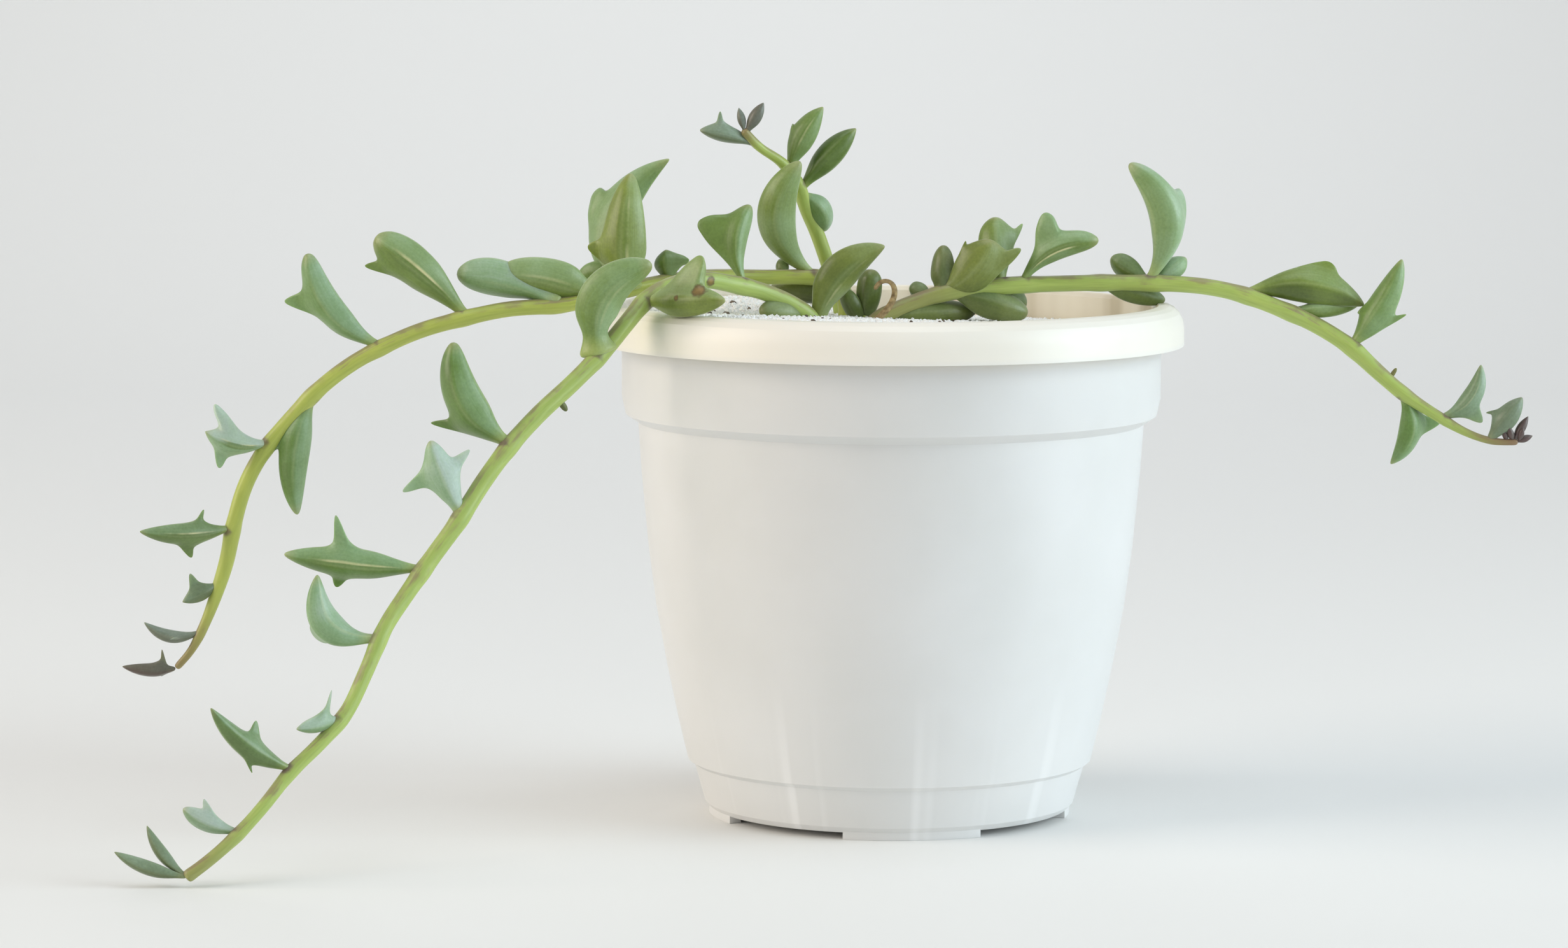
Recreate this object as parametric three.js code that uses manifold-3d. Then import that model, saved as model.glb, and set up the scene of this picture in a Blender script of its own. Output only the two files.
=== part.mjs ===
// A string of dolphins, a trailing succulent, in a white plastic pot, as a three.js scene graph.
// Millimetres, +Z up. The pot's axis is X = Y = 0 and its feet stand on Z = 0.
// The photograph looks along +Y, so -Y is the front and +X is its right.
import * as THREE from "three";
import { mergeVertices } from "three/addons/utils/BufferGeometryUtils.js";
import Module from "manifold-3d";

const wasm = await Module();
wasm.setup();

// Driving sizes of the pot
const rimRadius = 55;
const potHeight = 96.5;
const rimFoot = 89;
const wall = 1.3;
const footHeight = 1.3;
const footRadius = 33;
const footWidth = 2.4;
const footArc = THREE.MathUtils.degToRad(44);
const footTurn = THREE.MathUtils.degToRad(-83.5);
const footCount = 4;
const drainRadius = 3.5;
const drainCircle = 24;
const drainCount = 4;
const potSegments = 40;
const drainSegments = 16;
const footSegments = 6;

// What fills the pot
const clearance = 0.3;
const holeRoom = 0.4;
const mixTop = 88;
const gritTop = 93.4;
const gritRadius = 49;
const fillSegments = 32;
const gritRings = 8;

// Stems and leaves
const stemSides = 8;
const stemStep = 8;
const leastRings = 8;
const leafSides = 8;

// Joining and cutting
function solid(geometry) {
  const bare = geometry.clone();
  bare.deleteAttribute("normal");
  bare.deleteAttribute("uv");
  const merged = mergeVertices(bare, 1e-4);
  const mesh = new wasm.Mesh({
    numProp: 3,
    vertProperties: merged.attributes.position.array,
    triVerts: new Uint32Array(merged.index.array),
  });
  return new wasm.Manifold(mesh);
}

function geometryOf(body) {
  const mesh = body.getMesh();
  const geometry = new THREE.BufferGeometry();
  geometry.setAttribute("position", new THREE.BufferAttribute(mesh.vertProperties, mesh.numProp));
  geometry.setIndex(new THREE.BufferAttribute(mesh.triVerts, 1));
  geometry.computeVertexNormals();
  return geometry;
}

function joined(bodies) {
  return bodies.reduce((sum, body) => sum.add(body));
}

// A turned body about Z, from an outline of [radius, height] points that closes on the axis.
function turned(outline, segments = potSegments) {
  const points = outline.map(([radius, height]) => new THREE.Vector2(radius, height));
  const geometry = new THREE.LatheGeometry(points, segments);
  return geometry.rotateX(Math.PI / 2);
}

// A cylinder whose every vertex is moved: place(angle, along, round) gives the new point, where
// along runs from 0 to 1 and round is 0 at the middle of an end and 1 on the side.
function skin(sides, rings, place) {
  const geometry = new THREE.CylinderGeometry(1, 1, 1, sides, rings);
  const position = geometry.getAttribute("position");
  for (let i = 0; i < position.count; i += 1) {
    const angle = Math.atan2(position.getX(i), position.getZ(i));
    const round = Math.hypot(position.getX(i), position.getZ(i));
    const point = place(angle, position.getY(i) + 0.5, round);
    position.setXYZ(i, point.x, point.y, point.z);
  }
  return geometry;
}

// The stem's route: a smooth line through its points, with the radius falling towards the tip.
function route(plan) {
  const points = plan.route.map(([x, y, z]) => new THREE.Vector3(x, y, z));
  return new THREE.CatmullRomCurve3(points, false, "centripetal");
}

function stemRadius(plan, along) {
  const taper = THREE.MathUtils.smoothstep(along, plan.taperFrom, 1);
  return THREE.MathUtils.lerp(plan.radius, plan.tipRadius, taper);
}

function stem(plan, curve, grow = 0) {
  const rings = Math.max(leastRings, Math.round(curve.getLength() / stemStep));
  const frames = curve.computeFrenetFrames(rings);
  return skin(stemSides, rings, (angle, along, round) => {
    const ring = Math.round(along * rings);
    const reach = round * (stemRadius(plan, along) + grow);
    const point = curve.getPointAt(along);
    const end = ring === 0 ? -grow : ring === rings ? grow : 0;
    point.addScaledVector(frames.tangents[ring], end);
    point.addScaledVector(frames.normals[ring], reach * Math.cos(angle));
    return point.addScaledVector(frames.binormals[ring], reach * Math.sin(angle));
  });
}

// A leaf's rings from its base to its fins and on to its tip, as [share of that stretch, share of
// the full width]. The fins stand on the ring that ends the first stretch.
const towardFins = [[0, 0.3], [0.3, 0.45], [0.7, 0.9], [1, 1]];
const towardTip = [[0.25, 0.94], [0.55, 0.76], [0.82, 0.47], [1, 0.16]];
const smallTowardFins = [[0, 0.4], [1, 1]];
const smallTowardTip = [[0.55, 0.76], [1, 0.16]];
const smallLeaf = 7;
const backShare = 0.44;
const bellyShare = 0.56;
const finPinch = 0.3;

const plainLeaf = {
  lean: 0,
  curve: 0,
  arch: 0,
  turn: 70,
  wide: 6,
  deep: 5,
  fins: [0.5, 3, 3],
  sweep: 0.8,
  droop: 0,
  tip: 0.16,
};

function leafRings(leaf) {
  const small = leaf.length < smallLeaf;
  const finAt = leaf.fins[0];
  const stretches = small ? [smallTowardFins, smallTowardTip] : [towardFins, towardTip];
  const first = stretches[0].map(([share, width]) => [share * finAt, width]);
  const last = stretches[1].map(([share, width]) => [finAt + share * (1 - finAt), width]);
  last[last.length - 1][1] = leaf.tip;
  return { rings: [...first, ...last], finRing: first.length - 1 };
}

// One leaf. It starts on the stem's axis, "at" millimetres along it. Its chord points "aim" degrees
// round in the picture plane, from +X towards +Z, and leans towards the viewer. Its middle is
// bowed "curve" to the left of that direction and "arch" towards the viewer, and its back is
// "turn" degrees round from the left towards the viewer. The fins are [share of the length,
// reach on the right, reach on the left], as seen from its back.
function leafShape(row, base, grow = 0) {
  const leaf = { ...plainLeaf, ...row };
  const aim = THREE.MathUtils.degToRad(leaf.aim);
  const lean = THREE.MathUtils.degToRad(leaf.lean);
  const turn = THREE.MathUtils.degToRad(leaf.turn);
  const chord = new THREE.Vector3(
    Math.cos(aim) * Math.cos(lean),
    -Math.sin(lean),
    Math.sin(aim) * Math.cos(lean),
  );
  const left = new THREE.Vector3(-Math.sin(aim), 0, Math.cos(aim));
  const viewer = new THREE.Vector3().crossVectors(chord, left);
  const bow = left.clone().multiplyScalar(leaf.curve).addScaledVector(viewer, leaf.arch);
  const back = left.clone().multiplyScalar(Math.cos(turn)).addScaledVector(viewer, Math.sin(turn));
  const { rings, finRing } = leafRings(leaf);
  return skin(leafSides, rings.length - 1, (angle, along, round) => {
    const ring = Math.round(along * (rings.length - 1));
    const [share, width] = rings[ring];
    const point = base.clone().addScaledVector(chord, leaf.length * share);
    point.addScaledVector(bow, 4 * share * (1 - share));
    const heading = chord.clone().multiplyScalar(leaf.length);
    heading.addScaledVector(bow, 4 - 8 * share).normalize();
    const up = back.clone().addScaledVector(heading, -back.dot(heading)).normalize();
    const side = new THREE.Vector3().crossVectors(heading, up);
    const pinched = angle + finPinch * Math.sin(2 * angle);
    const across = Math.sin(pinched);
    const depth = Math.cos(pinched) > 0 ? backShare : bellyShare;
    let reach = (leaf.wide / 2) * width + grow;
    if (ring === finRing && Math.abs(across) > 0.99) {
      reach = Math.max(reach, (across > 0 ? leaf.fins[1] : leaf.fins[2]) + grow);
      point.addScaledVector(heading, leaf.sweep * round);
      point.addScaledVector(up, -leaf.droop * round);
    }
    point.addScaledVector(side, round * reach * across);
    point.addScaledVector(up, round * (leaf.deep * depth * width + grow) * Math.cos(pinched));
    const end = ring === 0 ? -grow : ring === rings.length - 1 ? grow : 0;
    return point.addScaledVector(heading, end);
  });
}

// A leafy stem, or, with grow, the room that it needs in the soil.
function leafyStem(plan, grow = 0) {
  const curve = route(plan);
  const length = curve.getLength();
  const bodies = [solid(stem(plan, curve, grow))];
  for (const row of plan.leaves) {
    if (grow > 0 && !row.inSoil) continue;
    const base = curve.getPointAt(Math.min(row.at / length, 1));
    bodies.push(solid(leafShape(row, base, grow)));
  }
  return joined(bodies);
}

// The stems and their leaves, read off the photograph
const vineLeft = {
  radius: 1.55,
  tipRadius: 0.7,
  taperFrom: 0.86,
  route: [
    [-8.5, 5, 86], [-8.5, 5, 93], [-9, 5, 98.6], [-11, 4.5, 100.6], [-14.5, 4, 101],
    [-23.5, 2, 101.1], [-36, -4, 101.4], [-47.5, -11, 100], [-54.5, -15, 98.5], [-60.5, -17, 97.1],
    [-71, -19, 96.6], [-79, -20, 95.2], [-87, -21, 93], [-93.6, -22, 90.2], [-99.5, -22, 87],
    [-105.2, -23, 82.2], [-110.7, -23, 76.3], [-115.6, -23, 70.2], [-118.7, -23, 64.2],
    [-120.8, -23, 57], [-122.3, -22, 50], [-124.3, -22, 44], [-126.7, -22, 38.5],
    [-129.4, -22, 33.2], [-132.6, -22, 29.8],
  ],
  leaves: [
    { at: 11, aim: 172, length: 14.5, lean: -8, wide: 5, deep: 4.4, turn: 60 },
    { at: 20, aim: 96, length: 23, lean: 12, curve: 5.5, turn: 25, wide: 6.6, deep: 7, fins: [0.5, 4, 4] },
    { at: 24.5, aim: 114, length: 4.5, lean: -40, wide: 3, deep: 2.4, fins: [0.6, 1.8, 1.8] },
    { at: 49, aim: 96, length: 6.5, lean: -10, wide: 4.6, deep: 4, fins: [0.6, 3.4, 3.2] },
    { at: 56, aim: 179, length: 11, lean: -15, curve: -1.2, wide: 6 },
    { at: 58, aim: 88, length: 21.2, curve: 0.8, turn: 75, wide: 8, deep: 6, fins: [0.37, 4, 7.3] },
    { at: 60.5, aim: 67, length: 26, lean: -12, curve: 5, wide: 7.6, deep: 6, fins: [0.56, 3.8, 6.6] },
    { at: 64, aim: 166, length: 19.5, lean: 10, curve: -1.6, wide: 8, tip: 0.3, fins: [0.6, 4.2, 4.2] },
    { at: 72, aim: 165, length: 20, lean: -6, curve: -1.8, wide: 7.4, deep: 6, tip: 0.35, fins: [0.6, 4, 4] },
    { at: 89, aim: 143, length: 22, wide: 7.6, deep: 6.2, sweep: 2.6, turn: 80, fins: [0.84, 3.5, 3.5] },
    { at: 105.5, aim: 129, length: 21.3, curve: 2.8, wide: 6.6, tip: 0.35, fins: [0.68, 3.4, 7.8] },
    { at: 121, aim: 262, length: 22.6, curve: -2.4, turn: 85, wide: 6.6, fins: [0.42, 7, 3.2] },
    { at: 133, aim: 172, length: 13.4, lean: 30, turn: 80, wide: 5.6, sweep: 2, fins: [0.66, 6.3, 5.5] },
    { at: 150.5, aim: 177, length: 19.6, lean: 30, curve: 0.8, turn: 50, wide: 5.2, fins: [0.36, 6.4, 5] },
    { at: 161.5, aim: 203, length: 7, lean: 20, turn: 80, wide: 4.4, deep: 3.4, fins: [0.55, 4, 2.5] },
    { at: 171, aim: 171, length: 10.2, curve: 1.6, turn: 180, wide: 3.6, droop: 2.6, fins: [0.42, 2.6, 2.6] },
    { at: 181, aim: 178, length: 10, curve: 0.5, wide: 2.8, deep: 2.6, fins: [0.3, 1.8, 1.8] },
    { at: 181, aim: 112, length: 4.2, lean: 20, wide: 1.8, deep: 1.6, fins: [0.5, 1.1, 1.1] },
  ],
};

const vineFront = {
  radius: 1.6,
  tipRadius: 1.1,
  taperFrom: 0.9,
  route: [
    [-13, -8, 87], [-14, -9, 92.4], [-17.5, -11, 96.2], [-24, -14, 99.4], [-30, -18, 101.1],
    [-34.5, -22, 102.1], [-39.6, -26, 101.7], [-44.4, -30.5, 99.2], [-48, -35, 94.6], [-51.8, -38, 89.6],
    [-57.3, -42, 84.2], [-63.4, -46, 79.2], [-68.8, -49, 73.8], [-73.4, -52, 68], [-78.4, -56, 60.5],
    [-82.5, -58, 55], [-87, -61, 48.6], [-90.5, -64, 43.2], [-93.7, -67, 35.7], [-97, -70, 28.8],
    [-101.6, -73, 23.6], [-106.5, -75, 18.9], [-110.7, -78, 13.7], [-115, -80, 9], [-119.8, -82, 4.8],
    [-124, -83, 1.7],
  ],
  leaves: [
    { at: 5.5, aim: 51, length: 20, lean: 5, curve: 3.4, turn: 20, wide: 6, deep: 7, tip: 0.2, inSoil: true },
    { at: 8.5, aim: 176, length: 10, lean: 28, turn: 90, wide: 5.4, deep: 4.6, inSoil: true },
    { at: 23.5, aim: 107, length: 14.2, lean: -15, turn: 90, wide: 8, sweep: 3, fins: [0.82, 4.8, 5.8] },
    { at: 47.5, aim: 4, length: 18, lean: 35, turn: 75, wide: 5, deep: 4.6, fins: [0.64, 2.5, 8] },
    { at: 62, aim: 53, length: 18.5, lean: 8, curve: 5.4, turn: 40, wide: 9, deep: 9.6, fins: [0.38, 5, 5] },
    { at: 86, aim: 118, length: 21, curve: 4.6, wide: 7.4, deep: 6, tip: 0.3, fins: [0.44, 3.3, 8.2] },
    { at: 102, aim: 115, length: 13.8, curve: 2.4, turn: 90, wide: 6, tip: 0.3, fins: [0.66, 6.4, 6.2] },
    { at: 114, aim: 173, length: 25, curve: 0.3, turn: 75, wide: 6, fins: [0.6, 7.6, 5] },
    { at: 129, aim: 134, length: 15.8, curve: 5, turn: 30, wide: 5, deep: 5.2, fins: [0.5, 2.8, 3.8] },
    { at: 145, aim: 188, length: 9.3, lean: 35, wide: 4.4, fins: [0.38, 6.2, 2.8] },
    { at: 157.5, aim: 139, length: 18, lean: 20, turn: 120, wide: 5, deep: 4.4, fins: [0.44, 5.6, 4.8] },
    { at: 172, aim: 155, length: 10.8, turn: 80, wide: 5, deep: 4, tip: 0.35, fins: [0.66, 3.6, 3.3] },
    { at: 184, aim: 161, length: 13.4, wide: 3.4, deep: 3, fins: [0.35, 2.2, 2.2] },
    { at: 184, aim: 130, length: 11.5, lean: -12, wide: 3, deep: 2.8, fins: [0.4, 2, 2] },
  ],
};

const vineUpright = {
  radius: 1.45,
  tipRadius: 0.8,
  taperFrom: 0.45,
  route: [
    [-9, 14, 86], [-9.2, 14, 92.5], [-10.2, 13, 98], [-12.1, 12, 103.7], [-14.1, 11, 109.3],
    [-16.2, 9, 114], [-17.7, 7, 118.7], [-20.6, 4, 122.9], [-24.7, 2, 126], [-27.5, 0, 129.3],
  ],
  leaves: [
    { at: 32.5, aim: 300, length: 9.2, lean: -25, curve: 1.4, wide: 5.4, deep: 4.4, tip: 0.35 },
    { at: 33.5, aim: 48, length: 15.7, curve: 0.8, wide: 5.4, deep: 5 },
    { at: 38.5, aim: 61, length: 13.6, curve: 1.2, wide: 5.2, deep: 4.6, fins: [0.55, 2.8, 3.2] },
    { at: 47, aim: 162, length: 11.2, lean: 10, wide: 3.8, deep: 3.4, fins: [0.72, 4.2, 2.4] },
    { at: 51, aim: 104, length: 4.6, lean: -10, wide: 1.8, deep: 1.6, fins: [0.5, 1.1, 1.1] },
    { at: 51, aim: 59, length: 6, wide: 2.2, deep: 2, fins: [0.5, 1.3, 1.3] },
  ],
};

const vineRight = {
  radius: 1.55,
  tipRadius: 0.6,
  taperFrom: 0.74,
  route: [
    [-8.5, -10, 87], [-3.5, -8, 93.2], [4.5, -6, 97.1], [11.7, -5, 99.3], [21.3, -4, 100.3],
    [29.7, -3, 100.5], [41.7, -2, 100.6], [53.6, -2, 100.3], [59.5, -3, 99.8], [65.5, -3, 98.5],
    [71.4, -4, 96.4], [78.6, -4, 93.3], [85.7, -5, 88.4], [90.4, -6, 83.7], [95.1, -7, 79.5],
    [101, -8, 75.9], [107, -9, 72.5], [112, -10, 71.1], [117, -10, 71.4],
  ],
  leaves: [
    { at: 9.5, aim: 2, length: 19, lean: -18, wide: 5.4, deep: 4.4, inSoil: true },
    { at: 20.5, aim: 158, length: 5, lean: -30, wide: 3.6, deep: 3, fins: [0.5, 2, 2] },
    { at: 22, aim: 49, length: 14, lean: 5, turn: 90, wide: 7, tip: 0.3, sweep: 1.8, fins: [0.84, 6.6, 4.6] },
    { at: 22.5, aim: 88, length: 9.3, lean: -15, wide: 4.2, deep: 3.8, tip: 0.3, fins: [0.6, 2.3, 2.3] },
    { at: 24, aim: 340, length: 14.5, lean: -6, wide: 6, inSoil: true },
    { at: 27, aim: 345, length: 10, lean: -25, wide: 6, inSoil: true },
    { at: 34, aim: 84, length: 12.2, lean: -20, turn: 90, wide: 5, sweep: 1.8, fins: [0.82, 3.2, 3.4] },
    { at: 37.5, aim: 49, length: 14, lean: 10, turn: 90, wide: 5.4, sweep: 3.4, fins: [0.8, 6.4, 5.2] },
    { at: 52, aim: 335, length: 6, wide: 2, deep: 1.8, fins: [0.6, 1.2, 1.2] },
    { at: 62, aim: 152, length: 7.6, lean: -25, wide: 3.8, deep: 3.2, fins: [0.6, 2.2, 2.2] },
    { at: 62.5, aim: 104, length: 22.7, curve: -5.5, turn: -30, wide: 6.8, deep: 6.8, fins: [0.5, 3.7, 3.7] },
    { at: 63, aim: 38, length: 8, lean: -20, wide: 4, deep: 3.2, fins: [0.6, 2.4, 2.4] },
    { at: 64.5, aim: 300, length: 5.5, lean: 50, wide: 4.4, deep: 3, fins: [0.6, 2.6, 2.6] },
    { at: 79.5, aim: 353, length: 22.4, curve: 3.4, turn: 75, wide: 7, deep: 5.6, fins: [0.66, 5.2, 4.6] },
    { at: 102, aim: 60, length: 19, curve: -1.2, wide: 6, fins: [0.45, 6.4, 3] },
    { at: 115.5, aim: 263, length: 13.2, curve: 1.4, wide: 4, deep: 3.8, fins: [0.35, 2.2, 6] },
    { at: 123.5, aim: 56, length: 12.8, curve: -2.6, wide: 3.8, deep: 3.4, fins: [0.32, 5.6, 2.2] },
    { at: 133.5, aim: 53, length: 10.6, wide: 4.2, deep: 3.6, fins: [0.4, 2.4, 3.8] },
    { at: 138, aim: 60, length: 5.6, wide: 1.9, deep: 1.7, fins: [0.5, 1.2, 1.2] },
    { at: 138, aim: 108, length: 3.2, lean: 15, wide: 1.5, deep: 1.4, fins: [0.5, 1, 1] },
    { at: 138.5, aim: 20, length: 3.4, wide: 1.5, deep: 1.4, fins: [0.5, 1, 1] },
  ],
};

const shortShoot = {
  radius: 1.5,
  tipRadius: 1.4,
  taperFrom: 0.5,
  route: [[-5, -1, 86.5], [-5, -1, 90.5], [-5, -1, 94.5]],
  leaves: [
    { at: 5, aim: 87, length: 11.5, wide: 5, deep: 4.8, tip: 0.55, fins: [0.6, 2.7, 2.7], inSoil: true },
    { at: 5, aim: 118, length: 9, lean: 8, wide: 4, deep: 3.6, tip: 0.3, inSoil: true },
  ],
};

const dryTendril = {
  radius: 0.65,
  tipRadius: 0.45,
  taperFrom: 0.4,
  route: [
    [-3.5, -12, 89], [-3.5, -12, 93.5], [-2, -12, 95], [-0.3, -11.5, 97],
    [0.5, -11, 99.5], [-0.5, -11, 101.4], [-2.6, -11, 101], [-3.4, -11, 99.6],
  ],
  leaves: [],
};

const vines = [vineLeft, vineFront, vineUpright, vineRight, shortShoot, dryTendril];

// The pot: one moulding of even wall, with a hollow rim, a collar, a belly and a foot ring.
function potBody() {
  const floor = footHeight + wall;
  const outside = [
    [0, footHeight], [34, footHeight], [35, 2.4], [37, 9.6], [38.2, 10.4], [40, 18], [42.1, 28],
    [44.2, 39.5], [45.7, 51], [47, 65], [47.6, 74.2], [50, 75.8], [50.7, 79], [50.7, 94.4],
    [rimRadius - wall, 94.4], [rimRadius - wall, rimFoot], [rimRadius, rimFoot], [54.7, 93.8],
    [53.4, 95.9], [51.6, potHeight],
  ];
  const inside = [
    [50.2, potHeight], [49.4, 95.6], [49.4, 79], [46.3, 75.2], [45.7, 65], [44.4, 51],
    [42.9, 39.5], [40.8, 28], [38.7, 18], [36, 9.6], [34, floor], [0, floor],
  ];
  return solid(turned([...outside, ...inside]));
}

function foot(index) {
  const start = footTurn + (index * 2 * Math.PI) / footCount - footArc / 2;
  const outer = footRadius + footWidth / 2;
  const inner = footRadius - footWidth / 2;
  const shape = new THREE.Shape();
  shape.absarc(0, 0, outer, start, start + footArc, false);
  shape.absarc(0, 0, inner, start + footArc, start, true);
  shape.closePath();
  const depth = footHeight + wall / 2;
  const options = { depth, bevelEnabled: false, curveSegments: footSegments };
  return solid(new THREE.ExtrudeGeometry(shape, options));
}

function drain(index) {
  const angle = footTurn + ((index + 0.5) * 2 * Math.PI) / drainCount;
  const depth = 4 * (footHeight + wall);
  const hole = new THREE.CylinderGeometry(drainRadius, drainRadius, depth, drainSegments);
  hole.rotateX(Math.PI / 2);
  return solid(hole.translate(drainCircle * Math.cos(angle), drainCircle * Math.sin(angle), 0));
}

function pot() {
  let body = potBody();
  for (let i = 0; i < footCount; i += 1) body = body.add(foot(i));
  for (let i = 0; i < drainCount; i += 1) body = body.subtract(drain(i));
  return body;
}

// The white grit's surface: level with the rim in front, lower behind and at the right, with a
// heap behind the stems at the left. Two crossed waves give it the relief of its grains.
const gritSlope = { x: -0.03, y: -0.05 };
const gritHeap = { x: -27, y: 32, height: 2.6, spread: 15 };

function gritHeight(x, y) {
  const away = Math.hypot(x - gritHeap.x, y - gritHeap.y) / gritHeap.spread;
  const heap = gritHeap.height * Math.exp(-(away ** 2));
  const grains = 0.28 * Math.sin(1.3 * x + 0.9 * y) + 0.24 * Math.sin(1.7 * y - 1.1 * x + 2);
  return gritTop + gritSlope.x * x + gritSlope.y * y + heap + grains;
}

// The grit: a disc whose top follows gritHeight and whose underside is flat.
function gritBody(radius, bottom) {
  const outline = [[0, 0], [radius, 0]];
  for (let i = gritRings; i >= 0; i -= 1) outline.push([(radius * i) / gritRings, 1]);
  const geometry = turned(outline, fillSegments);
  const position = geometry.getAttribute("position");
  for (let i = 0; i < position.count; i += 1) {
    const top = gritHeight(position.getX(i), position.getY(i));
    position.setZ(i, position.getZ(i) > 0.5 ? top : bottom);
  }
  return solid(geometry);
}

// Room in the soil for what stands in it
const grown = vines.map((plan) => leafyStem(plan, holeRoom));

function withHoles(body) {
  return grown.reduce((rest, room) => rest.subtract(room), body);
}

function pottingMix() {
  const bottom = footHeight + wall + clearance;
  const outline = [
    [0, bottom], [33.6, bottom], [35.6, 9.8], [38.3, 18], [40.4, 28], [42.5, 39.5], [44, 51],
    [45.3, 65], [45.9, 75.4], [gritRadius, 79.2], [gritRadius, mixTop], [0, mixTop],
  ];
  return withHoles(solid(turned(outline, fillSegments)));
}

function whiteGrit() {
  return withHoles(gritBody(gritRadius, mixTop + clearance));
}

// Each physical piece, its colour and its finish
const pieces = [
  { name: "pot", body: pot(), colour: "#ecebe7", roughness: 0.42 },
  { name: "potting_mix", body: pottingMix(), colour: "#3a2c22", roughness: 0.95 },
  { name: "white_grit", body: whiteGrit(), colour: "#efeeea", roughness: 0.9 },
  { name: "vine_left", body: leafyStem(vineLeft), colour: "#86a05a", roughness: 0.5 },
  { name: "vine_front", body: leafyStem(vineFront), colour: "#7fa35f", roughness: 0.5 },
  { name: "vine_upright", body: leafyStem(vineUpright), colour: "#7d9b66", roughness: 0.5 },
  { name: "vine_right", body: leafyStem(vineRight), colour: "#7c9a68", roughness: 0.5 },
  { name: "short_shoot", body: leafyStem(shortShoot), colour: "#7b7f3e", roughness: 0.6 },
  { name: "dry_tendril", body: leafyStem(dryTendril), colour: "#a08a5c", roughness: 0.8 },
];

const group = new THREE.Group();
for (const piece of pieces) {
  const material = new THREE.MeshStandardMaterial({
    color: piece.colour,
    roughness: piece.roughness,
    metalness: 0,
  });
  const mesh = new THREE.Mesh(geometryOf(piece.body), material);
  mesh.name = piece.name;
  group.add(mesh);
}

export default group;
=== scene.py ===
# A string of dolphins, a trailing succulent, in a white plastic nursery pot, for the render.
# Sizes are written in millimetres and turned to metres where a mesh is made.
import math
import random

import bmesh
import bpy
from mathutils import Euler, Matrix, Vector, noise


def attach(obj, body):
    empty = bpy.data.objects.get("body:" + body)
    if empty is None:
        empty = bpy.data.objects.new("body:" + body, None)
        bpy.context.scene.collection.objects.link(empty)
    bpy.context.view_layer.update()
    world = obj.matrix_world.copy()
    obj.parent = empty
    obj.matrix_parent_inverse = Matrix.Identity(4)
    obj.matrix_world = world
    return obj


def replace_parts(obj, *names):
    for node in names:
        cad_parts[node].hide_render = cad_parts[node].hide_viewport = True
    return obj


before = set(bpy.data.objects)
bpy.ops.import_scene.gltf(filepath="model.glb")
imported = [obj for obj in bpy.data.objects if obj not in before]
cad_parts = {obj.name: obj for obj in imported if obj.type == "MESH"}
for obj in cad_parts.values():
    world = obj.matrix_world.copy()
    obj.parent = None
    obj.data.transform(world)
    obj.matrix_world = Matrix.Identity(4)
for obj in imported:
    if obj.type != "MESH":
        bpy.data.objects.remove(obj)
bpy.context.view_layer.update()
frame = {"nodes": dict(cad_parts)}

mm = 0.001
scene = bpy.context.scene
print("frame loaded:", ", ".join(frame["nodes"]))

# Camera, at the photograph's angle, and the plain view of its colours
camera = {
    "eye": (-20.1, -956, 163),
    "pitch": 5.91,  # degrees down
    "roll": 0.17,
    "pictureWide": 2464,
    "focalPixels": 8000,
    "sensor": 36,
}


def addCamera(plan):
    data = bpy.data.cameras.new("photoCamera")
    data.sensor_width = plan["sensor"]
    data.lens = plan["sensor"] * plan["focalPixels"] / plan["pictureWide"]
    data.clip_end = 20
    data.dof.use_dof = False
    obj = bpy.data.objects.new("photoCamera", data)
    turn = Euler((math.radians(90 - plan["pitch"]), 0, 0)).to_matrix()
    turn = turn @ Matrix.Rotation(math.radians(plan["roll"]), 3, "Z")
    obj.matrix_world = Matrix.Translation(Vector(plan["eye"]) * mm) @ turn.to_4x4()
    scene.collection.objects.link(obj)
    scene.camera = obj


addCamera(camera)
scene.view_settings.view_transform = "Standard"
print("camera placed")


# Small helpers
def linear(code):
    parts = [int(code[i:i + 2], 16) / 255 for i in (1, 3, 5)]
    parts = [p / 12.92 if p <= 0.04045 else ((p + 0.055) / 1.055) ** 2.4 for p in parts]
    return (*parts, 1)


def addNode(tree, kind, inputs=None, stops=None, **settings):
    # An input is a number, a colour's hex value, a socket, or a node for its first open output
    node = tree.nodes.new(kind)
    for name, value in settings.items():
        setattr(node, name, value)
    for socket, value in (inputs or {}).items():
        if isinstance(value, bpy.types.Node):
            value = next(output for output in value.outputs if output.enabled)
        if isinstance(value, bpy.types.NodeSocket):
            tree.links.new(value, node.inputs[socket])
        else:
            node.inputs[socket].default_value = linear(value) if isinstance(value, str) else value
    if stops:
        while len(node.color_ramp.elements) < len(stops):
            node.color_ramp.elements.new(1)
        for element, (place, value) in zip(node.color_ramp.elements, stops):
            element.position = place
            element.color = linear(value) if isinstance(value, str) else (value, value, value, 1)
    return node


def newMaterial(name):
    material = bpy.data.materials.new(name)
    material.use_nodes = True
    material.node_tree.nodes.clear()
    return material, material.node_tree


def clamp(value, low=0.0, high=1.0):
    return max(low, min(high, value))


def smooth(value, low, high):
    t = clamp((value - low) / (high - low))
    return t * t * (3 - 2 * t)


def between(table, place):
    # A smooth curve through the table's points
    last = len(table) - 1
    i = next((k for k in range(last) if place <= table[k + 1][0]), last - 1)
    slopes = []
    for k in (i, i + 1):
        a, b = table[max(k - 1, 0)], table[min(k + 1, last)]
        slopes.append((b[1] - a[1]) / (b[0] - a[0]))
    (a, low), (b, high) = table[i], table[i + 1]
    t = clamp((place - a) / (b - a))
    rise = low * (2 * t ** 3 - 3 * t ** 2 + 1) + high * (3 * t ** 2 - 2 * t ** 3)
    bend = slopes[0] * (t ** 3 - 2 * t ** 2 + t) + slopes[1] * (t ** 3 - t ** 2)
    return rise + bend * (b - a)


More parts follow.
